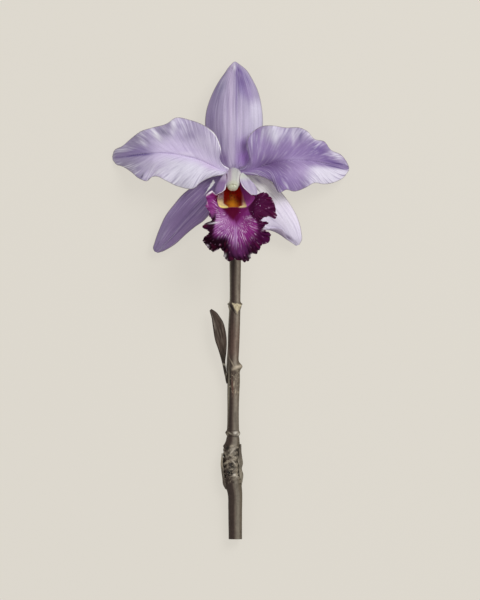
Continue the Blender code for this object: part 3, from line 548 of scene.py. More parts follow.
# Sheath scales: two dry pointed scales left of the sheaths that once wrapped the knot. They are
# thin and brittle, one dark and one bleached, and hug the knot from their feet up.
SCALE_THICKNESS = 0.6
for name, scale_turn, half_turn, foot_y, length, code, top, slot, solid in (
    ("left_knot_scale", 166, 30, -190, 21, "564a3f", "a89c88", "dry_leaf", "left_sheath_scale"),
    ("right_knot_scale", 24, 34, -186.5, 23, "7a7161", "4a4036", "dry_husk",
     "right_sheath_scale"),
):
    along = np.linspace(0, 1, 71)[:, None]
    across = np.linspace(-1, 1, 49)[None] + 0 * along
    torn = 0.22 * mottle(along * 7, 0 * along + 2, 44) + 0.12 * mottle(along * 19, 0 * along, 45)
    spread = math.radians(half_turn) * np.sqrt(np.clip(1 - 0.97 * along**1.3, 0, 1)) * (1 + torn)
    spread = spread * (0.3 + 0.7 * ramp(along, 0, 0.35))
    turn = math.radians(scale_turn) - spread * across
    along = along + 0 * across
    y = foot_y + length * along + (1 - along) * 1.2 * mottle(across * 3, 0 * along + 3, 41)
    middle, half = np.moveaxis(smooth(STEM_PROFILE[:, 0], STEM_PROFILE[:, 1:], y), -1, 0)
    radius = half + stem_relief(turn, y) + 0.15 + 0.35 * ramp(along, 0, 0.3) + 0.5 * along**2
    radius = radius + 0.2 * np.cos(across * 11 + 2 * mottle(along * 3, across, 42)) * (1 - along)
    grid = np.stack([
        middle + radius * np.cos(turn), y, STEM_AXIS_Z + radius * np.sin(turn)], axis=-1)
    pigment = paint(plain(code, grid), [
        (0.7 * mottle(across * 5, along * 7, 43), "2a211a"),
        (0.6 * ramp(mottle(across * 9, along * 12, 46), 0.2, 0.7), "a79d8b"),
        (0.8 * ramp(along, 0.45, 0.75), top),
        (0.5 * hill(1 - np.abs(across), 0, 0.06), "2a211b"),
    ])
    husk = finish_of(
        name + "_fibre", streaks=(2.2, 0.12), contrast=0.25, roughness=0.72, relief=0.1, speck=0.6,
        share=0.35)
    new_blade(name, grid, SCALE_THICKNESS, across, (across * 6, along * length), pigment,
              dye(pigment, 0.4 + 0 * y, "2a211b"), husk, [solid])


# Ovary and flower stalk: one fleshy green stalk, flushed with purple. It runs along the surface,
# thickens into the six-ribbed ovary and turns up behind the flower, which grows from its end.
def rings_along(path, across, deep, turn):
    """Rings round a path: across is the half width along X, deep the half width square to it."""
    run = np.gradient(path, axis=0)
    run /= np.linalg.norm(run, axis=1)[:, None]
    side = np.array([1.0, 0.0, 0.0]) - run * run[:, :1]
    side /= np.linalg.norm(side, axis=1)[:, None]
    up = np.cross(side, run)
    return (path[:, None] + (across * np.cos(turn))[..., None] * side[:, None]
            + (deep * np.sin(turn))[..., None] * up[:, None])


BEND_RADIUS, STALK_RINGS, STALK_SIDES = 9.5, 121, 72
at = np.linspace(0, 1, STALK_RINGS)
bend = [(0, BEND_RADIUS * (math.sin(a) - 1), STEM_AXIS_Z + BEND_RADIUS * (1 - math.cos(a)))
        for a in np.linspace(0, np.pi / 2, 9)]
path = smooth_line([(0.6, STEM_TOP_Y + 0.3, STEM_AXIS_Z), (0.5, -29, STEM_AXIS_Z),
                    (0.3, -20, STEM_AXIS_Z), (0.1, -14, STEM_AXIS_Z), *bend, (0, 0, 17)], at)
turn = np.linspace(0, 2 * np.pi, STALK_SIDES, endpoint=False)[None]
radius = smooth([0, 0.08, 0.35, 0.7, 0.85, 1], [2.6, 2.2, 2.2, 2.9, 2.9, 2.6], at)[:, None]
rib = smooth([0, 0.3, 0.6, 0.9, 1], [0, 0.2, 1, 0.8, 0], at)[:, None]
furrow = (1 - np.cos(6 * turn)) / 2
radius = radius - 0.22 * rib * furrow**1.5 + 0.04 * mottle(turn * 5, at[:, None] * 30, 51)
rings = rings_along(path, radius, radius, turn)
pigment = paint(plain("8a9a62", rings), [
    (ramp(at, 0.72, 1)[:, None] + 0 * radius, "b3a4bd"),
    (0.5 * rib * furrow, "6a7742"),
    (0.5 * mottle(turn * 4, at[:, None] * 9, 52), "8d6f80"),
])
green = finish_of(
    "green_stalk", streaks=(1.2, 0.3), contrast=0.12, roughness=0.42, relief=0.05, speck=0.5,
    share=0.4, Coat_Weight=0.1)
rings, faces, pigment = ring_body(rings, pigment, caps=(0.85, 0.4), dip=0.0, code="9aa070")
grain = round_grain(rings, 24, rings[..., 1] + rings[..., 2])
new_piece("ribbed_ovary", rings.reshape(-1, 3), faces, grain, pigment, green,
          ["ovary"])


# Floral bract: the small dry scale at the foot of the flower stalk. It stands on the stem's end
# and clasps the stalk.
BRACT_LENGTH, BRACT_THICKNESS = 10, 0.7
along = np.linspace(0, 1, 61)[:, None]
across = np.linspace(-1, 1, 61)[None] + 0 * along
along = along + 0 * across
radius = 3.3 + 1.1 * along**2 + 0.08 * mottle(across * 9, along * 3, 61)
angle = math.radians(75) * (1 - 0.93 * along**1.5) * across
grid = np.stack([0.6 + radius * np.sin(angle), STEM_TOP_Y + 0.3 + BRACT_LENGTH * along,
                 STEM_AXIS_Z + radius * np.cos(angle)], axis=-1)
pigment = paint(plain("86765f", grid), [
    (0.6 * ramp(along, 0.5, 1), "5d4c3c"),
    (0.4 * mottle(across * 8, along * 3, 62), "4a3c30"),
])
husk = finish_of(
    "dry_bract", streaks=(2.2, 0.15), contrast=0.2, roughness=0.7, relief=0.08, speck=0.6,
    share=0.3)
new_blade("dry_floral_bract", grid, BRACT_THICKNESS, across, (across * 4, along * BRACT_LENGTH),
          pigment, dye(pigment, 0.4 + 0 * along, "4a3c30"), husk, ["floral_bract"])


# Dorsal sepal: the flower's upright outer leaf. It is firm, waxy flesh with veins that run its
# whole length, arched back from a raised midrib, and grows from the ovary's end.
SEPAL_BASE_Z, SEPAL_THICKNESS = 13.0, 1.2


def waves(along, across, side, count, height, phase):
    """Waves of one margin, which die out towards the midrib."""
    reach = np.clip(across * side, 0, 1) ** 2.5
    fade = np.sin(np.pi * np.clip(along, 0, 1)) ** 0.5
    return height * reach * fade * np.sin(2 * np.pi * (count * along + phase))


def veined(height, along, across, count, depth, seed):
    """The height of a blade with its lengthwise veins, which stand out by the depth given."""
    drift = 0.6 * mottle(across * 3, along * 3, seed)
    vein = np.abs(np.sin(np.pi * (across * count + drift))) ** 0.7
    return height - depth * vein * (1 - across**8) + 0.6 * depth * hill(across, 0, 0.05)


def fleshy(pigment, u, v, inset, seed):
    """The pigment of a flower's leaf with fine veins along v and its thin tan rim."""
    vein = mottle(u, v, seed) + 0.6 * mottle(2.3 * u, 1.7 * v, seed + 1)
    pigment = paint(pigment, [
        (0.22 * ramp(vein, 0.1, 1.2), "6c588a"),
        (0.2 * ramp(-vein, 0.1, 1.2), "e4dced"),
    ])
    return dye(pigment, 0.75 * hill(inset, 0, 0.38), "8b8478")


midrib = [(0, 2.9), (0, 10), (0.2, 25), (0.2, 45), (0.6, 66.6)]
left = [
    (-3.4, 1.8), (-8.2, 2.8), (-12.6, 8.4), (-15.5, 18), (-17.4, 29), (-16.8, 36), (-13.8, 45.6),
    (-8.4, 55.8), (-5.4, 60), (-3, 63.6), (-0.4, 66.2),
]
right = [
    (3.4, 1.8), (8.2, 2.8), (12.6, 8.4), (15.7, 18), (17.4, 29), (16.8, 38.4), (13.8, 50.4),
    (10.8, 56.4), (7.8, 61.2), (3.6, 64.8), (1.6, 66.2),
]
plan, along, across, inset = blade_plan(midrib, left, right, rows=201, columns=91)
arch = smooth([0, 0.3, 0.6, 0.85, 1], [SEPAL_BASE_Z, 15.5, 16.5, 13.5, 10], along)
fall = smooth([0, 0.3, 0.7, 1], [0.2, 2.6, 3.0, 0.4], along)
height = arch - fall * np.abs(across) ** 1.6
height = height + waves(along, across, side=1, count=2, height=0.5, phase=0.3)
height = veined(height, along, across, count=9, depth=0.12, seed=71)
x, y = plan[..., 0], plan[..., 1]
height = height - 0.35 * hill(x, 2.4, 0.5)
# Its far left is painted darker as shade and its lower right margin lighter as painted light, where
# its halves arch back from the midrib.
pigment = paint(plain("a296b4", x), [
    (ramp(-x, 6.5, 10), "8d809f"),
    (ramp(x, 7, 12) * ramp(-y, -47, -38), "cbc4d9"),
    (0.8 * hill(x, -1.9, 2.3), "b4a4c2"),
    (0.6 * hill(x, -5.6, 0.8) * ramp(-y, -58, -46), "bdb0cc"),
    (0.5 * (hill(x, -2, 0.6) + hill(x, 4.4, 0.6)) * ramp(-y, -58, -48), "c8bbd6"),
])
# The dark stripe just right of the midrib is painted shade in its groove.
groove_shade = hill(x, 1.5, 0.55) * (0.5 + 0.4 * ramp(y, 36, 46)) * ramp(y, 12, 26)
pigment = paint(pigment, [
    (groove_shade * ramp(-y, -64, -60), "735f92"),
    (0.45 * hill(x, 4.9, 0.4) * hill(y, 34, 12), "8474a0"),
    (0.25 * hill(x, -3.8, 0.4) * ramp(-y, -52, -40), "8b7ba3"),
    (0.5 * hill(x, -7.6, 0.6) * ramp(-y, -46, -36), "7c6e92"),
])
# The violet patches beside the base are partly the petals' painted shadow, and the dark patch at the
# upper right partly painted shade beside the midrib's groove.
pigment = blotch(pigment, x, y, [
    (4.8, 53, 7.5, 2.8, 106, "624985", 1.0), (3.4, 61, 3.6, 1.0, 125, "6c5591", 0.9),
    (8.0, 48, 6, 2.4, 112, "8f7bab", 0.8), (-8.2, 50, 5, 2.2, 62, "7d7796", 0.9),
    (-13.2, 32, 7, 2.6, 85, "84759a", 0.7), (-7.0, 38, 6, 2.0, 80, "a89bb8", 0.5),
    (-9.8, 43.4, 6, 2.2, 72, "7f7294", 0.8), (-9.4, 27, 7, 2.4, 88, "a092b1", 0.8),
    (6.6, 9.5, 7.5, 5.2, 80, "a67cca", 1.0), (5.4, 17, 4.2, 4.0, 60, "8d6fac", 0.9),
    (-5.6, 7.5, 6.5, 3.6, 122, "7d6694", 0.95), (-11, 15, 7, 3, 80, "8b7ba4", 0.5),
    (-1.6, 10, 9, 2.0, 90, "bcafca", 0.8), (0.2, 63.5, 2.6, 0.8, 90, "dcd6e4", 0.9),
    (4.4, 49, 5.5, 1.7, 100, "77659a", 0.6), (7.3, 56, 4.6, 1.5, 118, "77659a", 0.8),
    (-5.4, 59, 4, 1.2, 62, "7d7290", 0.8), (-8.4, 50.5, 6, 1.6, 66, "7b7090", 0.5),
    (2.8, 27, 10, 1.6, 90, "e2d6f0", 0.5), (-0.8, 29, 10, 1.2, 90, "d6cbe4", 0.45),
    (-4.2, 30, 9, 0.9, 90, "cbbfda", 0.4), (7.4, 28, 9, 2.4, 92, "d6cce4", 0.5),
])
reverse = dye(pigment, 0.6 + 0 * x, "a99fb4")
pigment = fleshy(pigment, across * 26, along * 5, inset, 72)
waxy = finish_of(
    "waxy_sepal", streaks=(1.6, 0.05), contrast=0.12, roughness=0.5, relief=0.05, speck=0.5,
    share=0.25, Specular_IOR_Level=0.2, Sheen_Weight=0.05, Sheen_Roughness=0.5)
new_blade("upper_sepal", with_height(plan, height), SEPAL_THICKNESS, across,
          (across * 14, along * 66), pigment, reverse, waxy, ["dorsal_sepal"])


# Left lateral sepal: the outer leaf at the lower left, of the same waxy flesh. It is painted duskier
# than the others, partly as painted shade. It is arched back, and blunt at its tip.
SLIVER_FOOT, SLIVER_WAY, SLIVER_LENGTH = (-18.7, -15.1), (0.541, 0.841), 12.4
midrib = [(-2.4, -1.7), (-9, -6.4), (-20, -17), (-33, -31.5), (-42, -42), (-46.8, -48)]
inner = [
    (-1.0, -3.6), (-4.6, -8), (-11, -20), (-18, -29), (-23.4, -32.8), (-28.8, -37.2), (-35.4, -43.2),
    (-39.6, -45.9), (-43.2, -47.7), (-46.0, -48.4),
]
outer = [
    (-3.8, 0.3), (-8.5, 0.6), (-17, -2.6), (-26.4, -9.6), (-30.8, -13.2), (-36, -19.2),
    (-41.4, -26.4), (-45, -34.2), (-48, -42.6), (-48.8, -45.8), (-47.8, -47.6),
]
plan, along, across, inset = blade_plan(midrib, inner, outer, rows=171, columns=81)
arch = smooth([0, 0.25, 0.6, 1], [SEPAL_BASE_Z, 13.6, 12.5, 6.5], along)
fall = smooth([0, 0.3, 0.7, 1], [0.2, 1.6, 2.4, 0.3], along)
height = arch - fall * np.abs(across) ** 1.7
height = height + waves(along, across, side=1, count=2, height=0.5, phase=0.1)
height = veined(height, along, across, count=7, depth=0.14, seed=81)
x, y = plan[..., 0], plan[..., 1]
pigment = paint(plain("866f99", x), [
    (0.6 * ramp(across, 0.1, 0.9), "87769d"),
    (0.6 * hill(across, -0.32, 0.07) * ramp(along, 0.15, 0.4), "5e4c74"),
    (0.5 * hill(across, 0.05, 0.05) * ramp(along, 0.3, 0.5), "62507a"),
    (0.4 * hill(across, -0.12, 0.06) * ramp(along, 0.2, 0.5), "8f819f"),
    (0.6 * ramp(along, 0.8, 1.0), "7f7290"),
])
# The dark marks near its base, under the left petal, are the petal's painted shadow.
pigment = blotch(pigment, x, y, [
    (-14.6, -29.8, 2.8, 1.5, -58, "b9b6b8", 1.0), (-15.6, -11.5, 4, 2.0, -40, "5d4b72", 0.8),
    (-13.5, -6.6, 8, 3.0, -40, "5f4a76", 0.8), (-24, -22, 10, 0.8, 48, "57456c", 0.6),
    (-30, -22, 13, 4, 50, "6b587c", 0.5), (-44, -38, 7, 2.4, 55, "8b7d9c", 0.5),
])
from_x, from_y = x - SLIVER_FOOT[0], y - SLIVER_FOOT[1]
up = SLIVER_WAY[0] * from_x + SLIVER_WAY[1] * from_y
off = SLIVER_WAY[1] * from_x - SLIVER_WAY[0] * from_y
sliver = ramp(off + 0.05 * up, 0, 0.3) * ramp(0.14 * up - off, 0, 0.3)
pigment = dye(pigment, sliver * ramp(SLIVER_LENGTH - up - 0.5 * off, 0, 0.5), "f3f3f1")
reverse = dye(pigment, 0.5 + 0 * x, "9a90a4")
pigment = fleshy(pigment, across * 22, along * 5, inset, 82)
new_blade("lower_left_sepal", with_height(plan, height), SEPAL_THICKNESS, across,
          (across * 12, along * 64), pigment, reverse, waxy, ["left_lateral_sepal"])


# Right lateral sepal: the outer leaf at the lower right, bleached almost white at its middle, and
# painted whiter still near its top as painted light where the right petal's shadow falls. Its lower
# margin turns up and in over its face, and shows its greyer back.
CURL_PLACE, CURL_WIDTH, CURL_TURN = 0.77, 0.15, math.radians(200)
CURL_DEPTH, CURL_LIFT, CURL_SHARE = 2.2, 0.7, 0.625
midrib = [(2.4, -1.7), (9, -6.4), (18, -16.5), (27, -28), (34.5, -38), (38.4, -43.8)]
outer = [
    (3.8, 0.3), (8.5, 0.8), (17, -2), (28.2, -11.8), (34.2, -19.8), (38.4, -27.6), (40.6, -36),
    (40.8, -40.8), (39.4, -43.4),
]
lower = [
    (1.0, -3.6), (4, -11), (9, -23), (14, -31), (18, -34.5), (21.6, -34.5), (25.2, -35.7),
    (28.8, -37.8), (31.8, -40.2), (35.4, -42.8), (37.4, -44.2),
]
plan, along, across, inset = blade_plan(midrib, outer, lower, rows=171, columns=97)
turned = CURL_TURN * hill(along, CURL_PLACE, CURL_WIDTH) + 0.02
middle = plan.shape[1] // 2
midline, outline = plan[:, middle:middle + 1], plan[:, -1:]
half = np.linalg.norm(outline - midline, axis=-1)
inward = (midline - outline) / half[..., None]
depth = np.minimum(CURL_DEPTH, 0.4 * half)
peak = np.sin(np.minimum(turned, np.pi / 2))
rolled = np.clip((across - 1 + CURL_SHARE) / CURL_SHARE, 0, 1)
angle = turned * rolled
way_out = (half - depth) * np.clip(across / (1 - CURL_SHARE), 0, 1) + depth * np.sin(angle) / peak
curled = midline - inward * way_out[..., None]
plan = np.where(across[..., None] > 0, curled, plan)
arch = smooth([0, 0.25, 0.6, 1], [SEPAL_BASE_Z, 13.8, 13, 7], along)
fall = smooth([0, 0.3, 0.7, 1], [0.2, 1.4, 2.2, 0.3], along)
height = arch - fall * np.clip(-across, 0, 1) ** 1.7 - 0.4 * fall * np.clip(across, 0, 1)
height = veined(height, along, across, count=7, depth=0.1, seed=91)
height = height + np.where(across > 0, CURL_LIFT * depth * (1 - np.cos(angle)) / peak, 0)
x, y = plan[..., 0], plan[..., 1]
pigment = paint(plain("e8e0f0", x), [
    (ramp(y, -22, -10), "f1eeec"),
    (0.8 * ramp(-y, 26, 38), "dad2e6"),
    (0.6 * ramp(-y, 37, 43), "b5adbf"),
])
# The dark lines near its top are painted shadow along the lip's edge, and the dark strip near its tip
# painted shade at the curled margin.
pigment = blotch(pigment, x, y, [
    (14.8, -5.2, 2.8, 0.8, -41, "75648e", 0.95), (19.5, -9, 9, 2.6, -52, "efede8", 0.9),
    (13.5, -9.6, 3.0, 0.4, -46, "55475f", 0.95), (11.5, -6.2, 3.0, 1.2, -30, "e6e6e0", 0.9),
    (24, -30, 7, 3, -45, "c2b9cf", 0.5), (33, -30, 9, 2.4, -60, "e2dceb", 0.6),
    (32.8, -39, 4.2, 1.1, -38, "74657f", 0.95),
])
# The fold where the margin starts to roll is darkened on both faces as painted shade.
reverse = paint(plain("918399", x), [
    (0.7 * hill(rolled, 0.45, 0.12), "564862"),
    (0.5 * ramp(rolled, 0.75, 1), "b3a9b8"),
])
pigment = dye(pigment, 0.6 * hill(rolled, 0.35, 0.18) * hill(along, CURL_PLACE, 0.2), "7b6d88")
pigment = fleshy(pigment, across * 22, along * 5, inset, 92)
new_blade("lower_right_sepal", with_height(plan, height), SEPAL_THICKNESS, across,
          (across * 13, along * 60), pigment, reverse, waxy, ["right_lateral_sepal"])


# Left petal: one of the two broad inner leaves, softer and thinner than the sepals. It is
# channelled along its midrib, and both margins are waved and crimped. It grows inside the sepals.
PETAL_BASE_Z, PETAL_THICKNESS, PETAL_TIP_Z = 15.9, 1.0, 0.27


def fan_of(along, across):
    """The place along the midrib, about from 0 to 1, where each point's vein branches from it."""
    return along - 0.3 * np.sqrt(np.abs(across)) + 0.3


def crimps(fan, across, inset, side, count, height, reach, seed):
    """Fine pleats square to one margin, which die out over the reach given in millimetres."""
    pleat = np.sin(2 * np.pi * (fan * count + 0.5 * mottle(fan * count / 3, np.abs(across), seed)))
    return height * pleat * np.exp(-inset / reach) * np.clip(across * side, 0, 1) ** 0.5


def petal_height(fan, along, across, inset, arch, dish, top, crimp, top_wave, low_wave, seed):
    """The height of a petal: its arch and channel, with the waves and crimps of its margins.

    top is the side of the upper margin, 1 or -1, and each wave is given as (height, phase).
    """
    arch = [PETAL_BASE_Z, *arch, PETAL_TIP_Z]
    middle = smooth([0, 0.12, 0.3, 0.5, 0.7, 0.87, 1], arch, along)
    depth = smooth([0, 0.15, 0.5, 0.85, 1], [0.5, *dish, 0.1], along)
    height = middle + depth * (np.abs(across) ** 1.3 - 0.6 * np.abs(across) ** 5)
    height = height + waves(along, across, top, 5, *top_wave)
    height = height + waves(along, across, -top, 4, *low_wave)
    height = height + crimps(fan, across, inset, top, 40, crimp, 6, seed)
    height = height + crimps(fan, across, inset, -top, 36, 0.1, 5, seed + 1)
    return height + 0.05 * mottle(fan * 60, across * 3, seed + 2) - 0.4 * hill(across, 0, 0.03)


def streaked(pigment, fan, across, inset, side, count, reach, dark, light, seed):
    """The pigment with light and dark streaks that run in from one margin."""
    streak = 0.5 * mottle(fan * count, across * 1.5, seed)
    streak = streak + 0.9 * mottle(fan * count * 2.3, across * 2.5, seed + 1)
    near = 0.75 * np.exp(-((inset / reach) ** 2)) * ramp(across * side, 0.1, 0.5)
    pigment = dye(pigment, near * ramp(streak, 0.1, 0.9), light)
    return dye(pigment, near * ramp(-streak, 0.1, 0.9), dark)


midrib = [
    (-2.9, 0.5), (-7.2, 0.8), (-11.4, 2.8), (-17.4, 5.7), (-23.4, 8.1), (-29.4, 9.6), (-41.4, 11.4),
    (-53.4, 11.1), (-65.4, 9.6), (-73.2, 8.6),
]
lower = [
    (-2.6, -1.6), (-6.6, -1.9), (-13.2, -3), (-20.4, -6.6), (-24, -9.8), (-33.6, -8.7), (-40.8, -5.4),
    (-46.8, -2.7), (-49.2, -3), (-52.2, -5.4), (-56.4, -4.2), (-62.4, 0.6), (-67.2, 3.6), (-70.8, 4.8),
    (-73.1, 7.6),
]
upper = [
    (-3.4, 2.4), (-7.0, 4.8), (-8.8, 9), (-7.8, 13.2), (-9, 18), (-11.4, 22.8), (-17.4, 27.6),
    (-26.4, 31.2), (-35.4, 32.4), (-39.6, 29.4), (-49.2, 26.7), (-55.8, 24.6), (-61.8, 20.4),
    (-67.2, 15.9), (-72.2, 13.2), (-73.3, 9.6),
]
plan, along, across, inset = blade_plan(midrib, lower, upper, rows=241, columns=121)
fan = fan_of(along, across)
height = petal_height(
    fan, along, across, inset, arch=(18.6, 21.5, 21, 16.5, 8.4), dish=(2.6, 3.2, 1.6), top=1,
    crimp=0.1, top_wave=(1.7, 0.55), low_wave=(1.5, 0.1), seed=101)
x, y = plan[..., 0], plan[..., 1]
# Its upper half and its tip are painted darker as shade, where they turn from the light, and its lower
# half lighter as painted light; its dark midrib is its purple vein and partly painted shade in its
# groove.
pigment = paint(plain("d2c4e4", x), [
    (ramp(across, 0.15, 0.75), "aea2c0"),
    (ramp(-across, 0.02, 0.35) * ramp(x, -50, -36), "d2cddd"),
    (0.9 * hill(x, -15, 9) * hill(y, 17, 9) * (across > 0), "bfb5cc"),
    (ramp(-x, 46, 60), "9c90b0"),
    (0.8 * hill(across, 0.16, 0.28) * ramp(-x, 42, 56), "8a77a8"),
    (0.95 * hill(across, -0.03, 0.055) * ramp(-x, 42, 56) * ramp(x, -73, -66), "5d4a86"),
    (0.8 * hill(across, 0, 0.022) * ramp(-x, 6, 16) * ramp(x, -50, -40), "8a70a8"),
])
# Among these, the white mark at -46.8, 22.6 is a painted highlight and the dark marks at -43.4, 24.6
# and -55.1, -2.4 painted shade in creases.
pigment = blotch(pigment, x, y, [
    (-46.8, 22.6, 4.6, 1.5, -48, "efecf4", 1.0), (-43.4, 24.6, 5, 1.5, -30, "877e9a", 0.95),
    (-36.3, 27.5, 4.5, 1.6, 85, "e2ddea", 0.9), (-27, 22, 5.5, 3.2, 20, "9a8dad", 0.8),
    (-42, 2.4, 6, 3.4, 12, "b9b0c6", 0.7), (-55, 18.4, 4.0, 1.0, -48, "d8d2e2", 0.8),
    (-52.5, 19.4, 3.6, 0.8, -45, "877b9a", 0.7),
    (-16, 4.2, 7.5, 2.6, -28, "ccb8dc", 0.9), (-27, 1.5, 9, 5, 10, "dad6e5", 0.8),
    (-51.5, 3.7, 6, 3.4, 10, "b0a7be", 0.7), (-62, 4, 6.5, 3.0, -25, "9489a4", 0.7),
    (-55.1, -2.4, 1.9, 0.5, 60, "4d425e", 0.95), (-50.5, -4.0, 1.6, 0.7, 20, "675b78", 0.8),
    (-30, 12.6, 12, 2.2, 0, "c3b2d8", 0.35), (-72.6, 9, 1.0, 4, 0, "aca1b8", 0.7),
    (-56, 23.6, 3.6, 1.6, 10, "bdb3cd", 0.7), (-33, 27.6, 4.5, 2.0, 10, "8d80a3", 0.6),
    (-29, 10.8, 6, 1.6, 0, "e6dcf0", 0.5),
])
for side, count, reach, dark, light, seed in (
    (1, 60, 8, "968aa8", "dcd7e5", 104), (-1, 54, 7, "a099ae", "ebe9f2", 106),
):
    pigment = streaked(pigment, fan, across, inset, side, count, reach, dark, light, seed)
pigment = dye(pigment, 0.95 * hill(inset, 0.5, 0.5) * (across > 0) * ramp(x, -18, -13), "f2eef5")
reverse = dye(pigment, 0.6 + 0 * x, "b9afc6")
pigment = fleshy(pigment, fan * 95, across * 5, inset, 108)
silky = finish_of(
    "silky_petal", streaks=(1.1, 0.25), contrast=0.09, roughness=0.5, relief=0.04, speck=0.5,
    share=0.3, Specular_IOR_Level=0.2, Sheen_Weight=0.06, Sheen_Roughness=0.5)
new_blade("broad_left_petal", with_height(plan, height), PETAL_THICKNESS, across,
          (fan * 75, across * 10), pigment, reverse, silky, ["left_petal"])


# Right petal: the other broad inner leaf, of the same soft flesh and grown in the same way. It is
# more deeply channelled. Its darker heart is partly painted shade in the channel, and the white edge
# of its inner margin is a painted highlight that stands in for the margin's turn back.
midrib = [
    (2.9, 0.5), (7.2, 0.4), (14, 2.4), (24, 5.5), (36, 7), (48, 6.5), (58, 4.8), (69.1, 2.2),
]
upper = [
    (3.4, 2.4), (7.8, 4.4), (9.6, 8), (7.8, 14.4), (8.4, 20.4), (12.6, 25.2), (17.4, 27.6),
    (21.6, 27.9), (30.6, 26.7), (40.2, 26.4), (43.8, 24.6), (48.6, 19.8), (54, 18.6), (58.2, 13.5),
    (64.2, 10.8), (68.4, 5.4), (69.4, 3),
]
lower = [
    (2.6, -1.6), (7.8, -1.8), (15.6, -2.7), (19.2, -3.9), (22.8, -6), (27.6, -12.6), (31.2, -10.8),
    (36, -11.7), (42.6, -9.6), (48.6, -6.6), (53.4, -7.2), (60.6, -6), (66, -3), (69.2, 1.2),
]
plan, along, across, inset = blade_plan(midrib, upper, lower, rows=241, columns=121)
fan = fan_of(along, across)
height = petal_height(
    fan, along, across, inset, arch=(18.2, 20.5, 20, 15.8, 8.2), dish=(3.2, 4.4, 2.0), top=-1,
    crimp=0.11, top_wave=(1.8, 0.2), low_wave=(1.6, 0.6), seed=111)
x, y = plan[..., 0], plan[..., 1]
# Its pale margins and the pale marks near them are partly painted light on the channel's raised sides,
# and the dark marks along its heart partly painted shade.
pigment = paint(plain("907aa9", x), [
    (ramp(-across, 0.45, 0.9) * ramp(x, 14, 22) * ramp(-x, -56, -44), "b9afc8"),
    (ramp(across, 0.1, 0.4) * ramp(x, 40, 50), "d7d1e2"),
])
pigment = blotch(pigment, x, y, [
    (22, 4.5, 12.5, 5.6, 5, "634879", 1.0), (27, -6, 7, 4.2, -60, "7c629b", 0.9),
    (12.5, 0.6, 6, 2.6, -8, "9a7db6", 0.9), (12.2, 7.4, 3.6, 2.6, 80, "977db2", 0.8),
    (11.6, 20, 5, 4.2, 60, "8a76a4", 0.8),
    (24.5, 22.4, 5.4, 2.4, 95, "d6d1e1", 1.0), (31, 21.5, 5.4, 2.0, 92, "8b7ba2", 0.8),
    (40, 22.5, 4, 1.2, 80, "74668f", 0.9), (35.6, 22, 5, 1.0, 90, "d0c9db", 0.8),
    (47.5, 21.2, 4.6, 1.6, -35, "e6e1ed", 0.9), (51, 13.6, 9.5, 3.2, -35, "745b94", 1.0),
    (59, 6.4, 8, 1.8, -16, "765f97", 0.9), (61.4, 10.6, 5.0, 1.8, -35, "cbc4d6", 1.0),
    (40.6, 0.9, 6.5, 4, -20, "a690bc", 0.7), (37, 11, 9, 3.6, 10, "8e77aa", 0.6),
    (56, -1.2, 10, 3.6, 0, "d8d3e2", 0.9), (63, 5.2, 6, 0.5, -13, "54407a", 0.9),
    (60.5, 3.2, 8, 0.5, -12, "54407a", 0.9), (66.6, 4.6, 2.2, 1.0, -50, "8b79a8", 0.6),
    (32, 24.4, 4, 2.2, 60, "7b6c97", 0.6), (48, 13.6, 5.5, 2.6, 50, "6e5891", 0.5),
    (17, -0.6, 6.5, 1.6, -5, "644e80", 0.55), (37, 8, 5.5, 1.6, 0, "b5a3cc", 0.5),
])
for side, count, reach, dark, light, seed in (
    (-1, 56, 7, "82749b", "d8d2e3", 114), (1, 52, 6, "82719a", "d9d2e3", 116),
):
    pigment = streaked(pigment, fan, across, inset, side, count, reach, dark, light, seed)
# Painted highlight along the inner margin near the base.
curl_highlight = hill(inset, 0.4, 0.45) * (across < 0) * ramp(-x, -13, -10.5) * ramp(y, 5, 8)
pigment = dye(pigment, 0.9 * curl_highlight * ramp(-y, -18, -15), "ebe6f0")
reverse = dye(pigment, 0.6 + 0 * x, "b3a7c4")
pigment = fleshy(pigment, fan * 95, across * 5, inset, 118)
new_blade("broad_right_petal", with_height(plan, height), PETAL_THICKNESS, across,
          (fan * 72, across * 10), pigment, reverse, silky, ["right_petal"])


# Lip: the flower's third petal, soft and velvety. A claw holds it to the ovary's end; from there
# it rolls round the column as a tube, and flares into side lobes and a ruffled front lobe.
LIP_ROWS, LIP_COLUMNS, LIP_THICKNESS = 109, 361, 0.7
FORM_COLUMNS, TUBE_ROWS, FLARE_ROWS, FAIRING = 61, 7, 9, 7
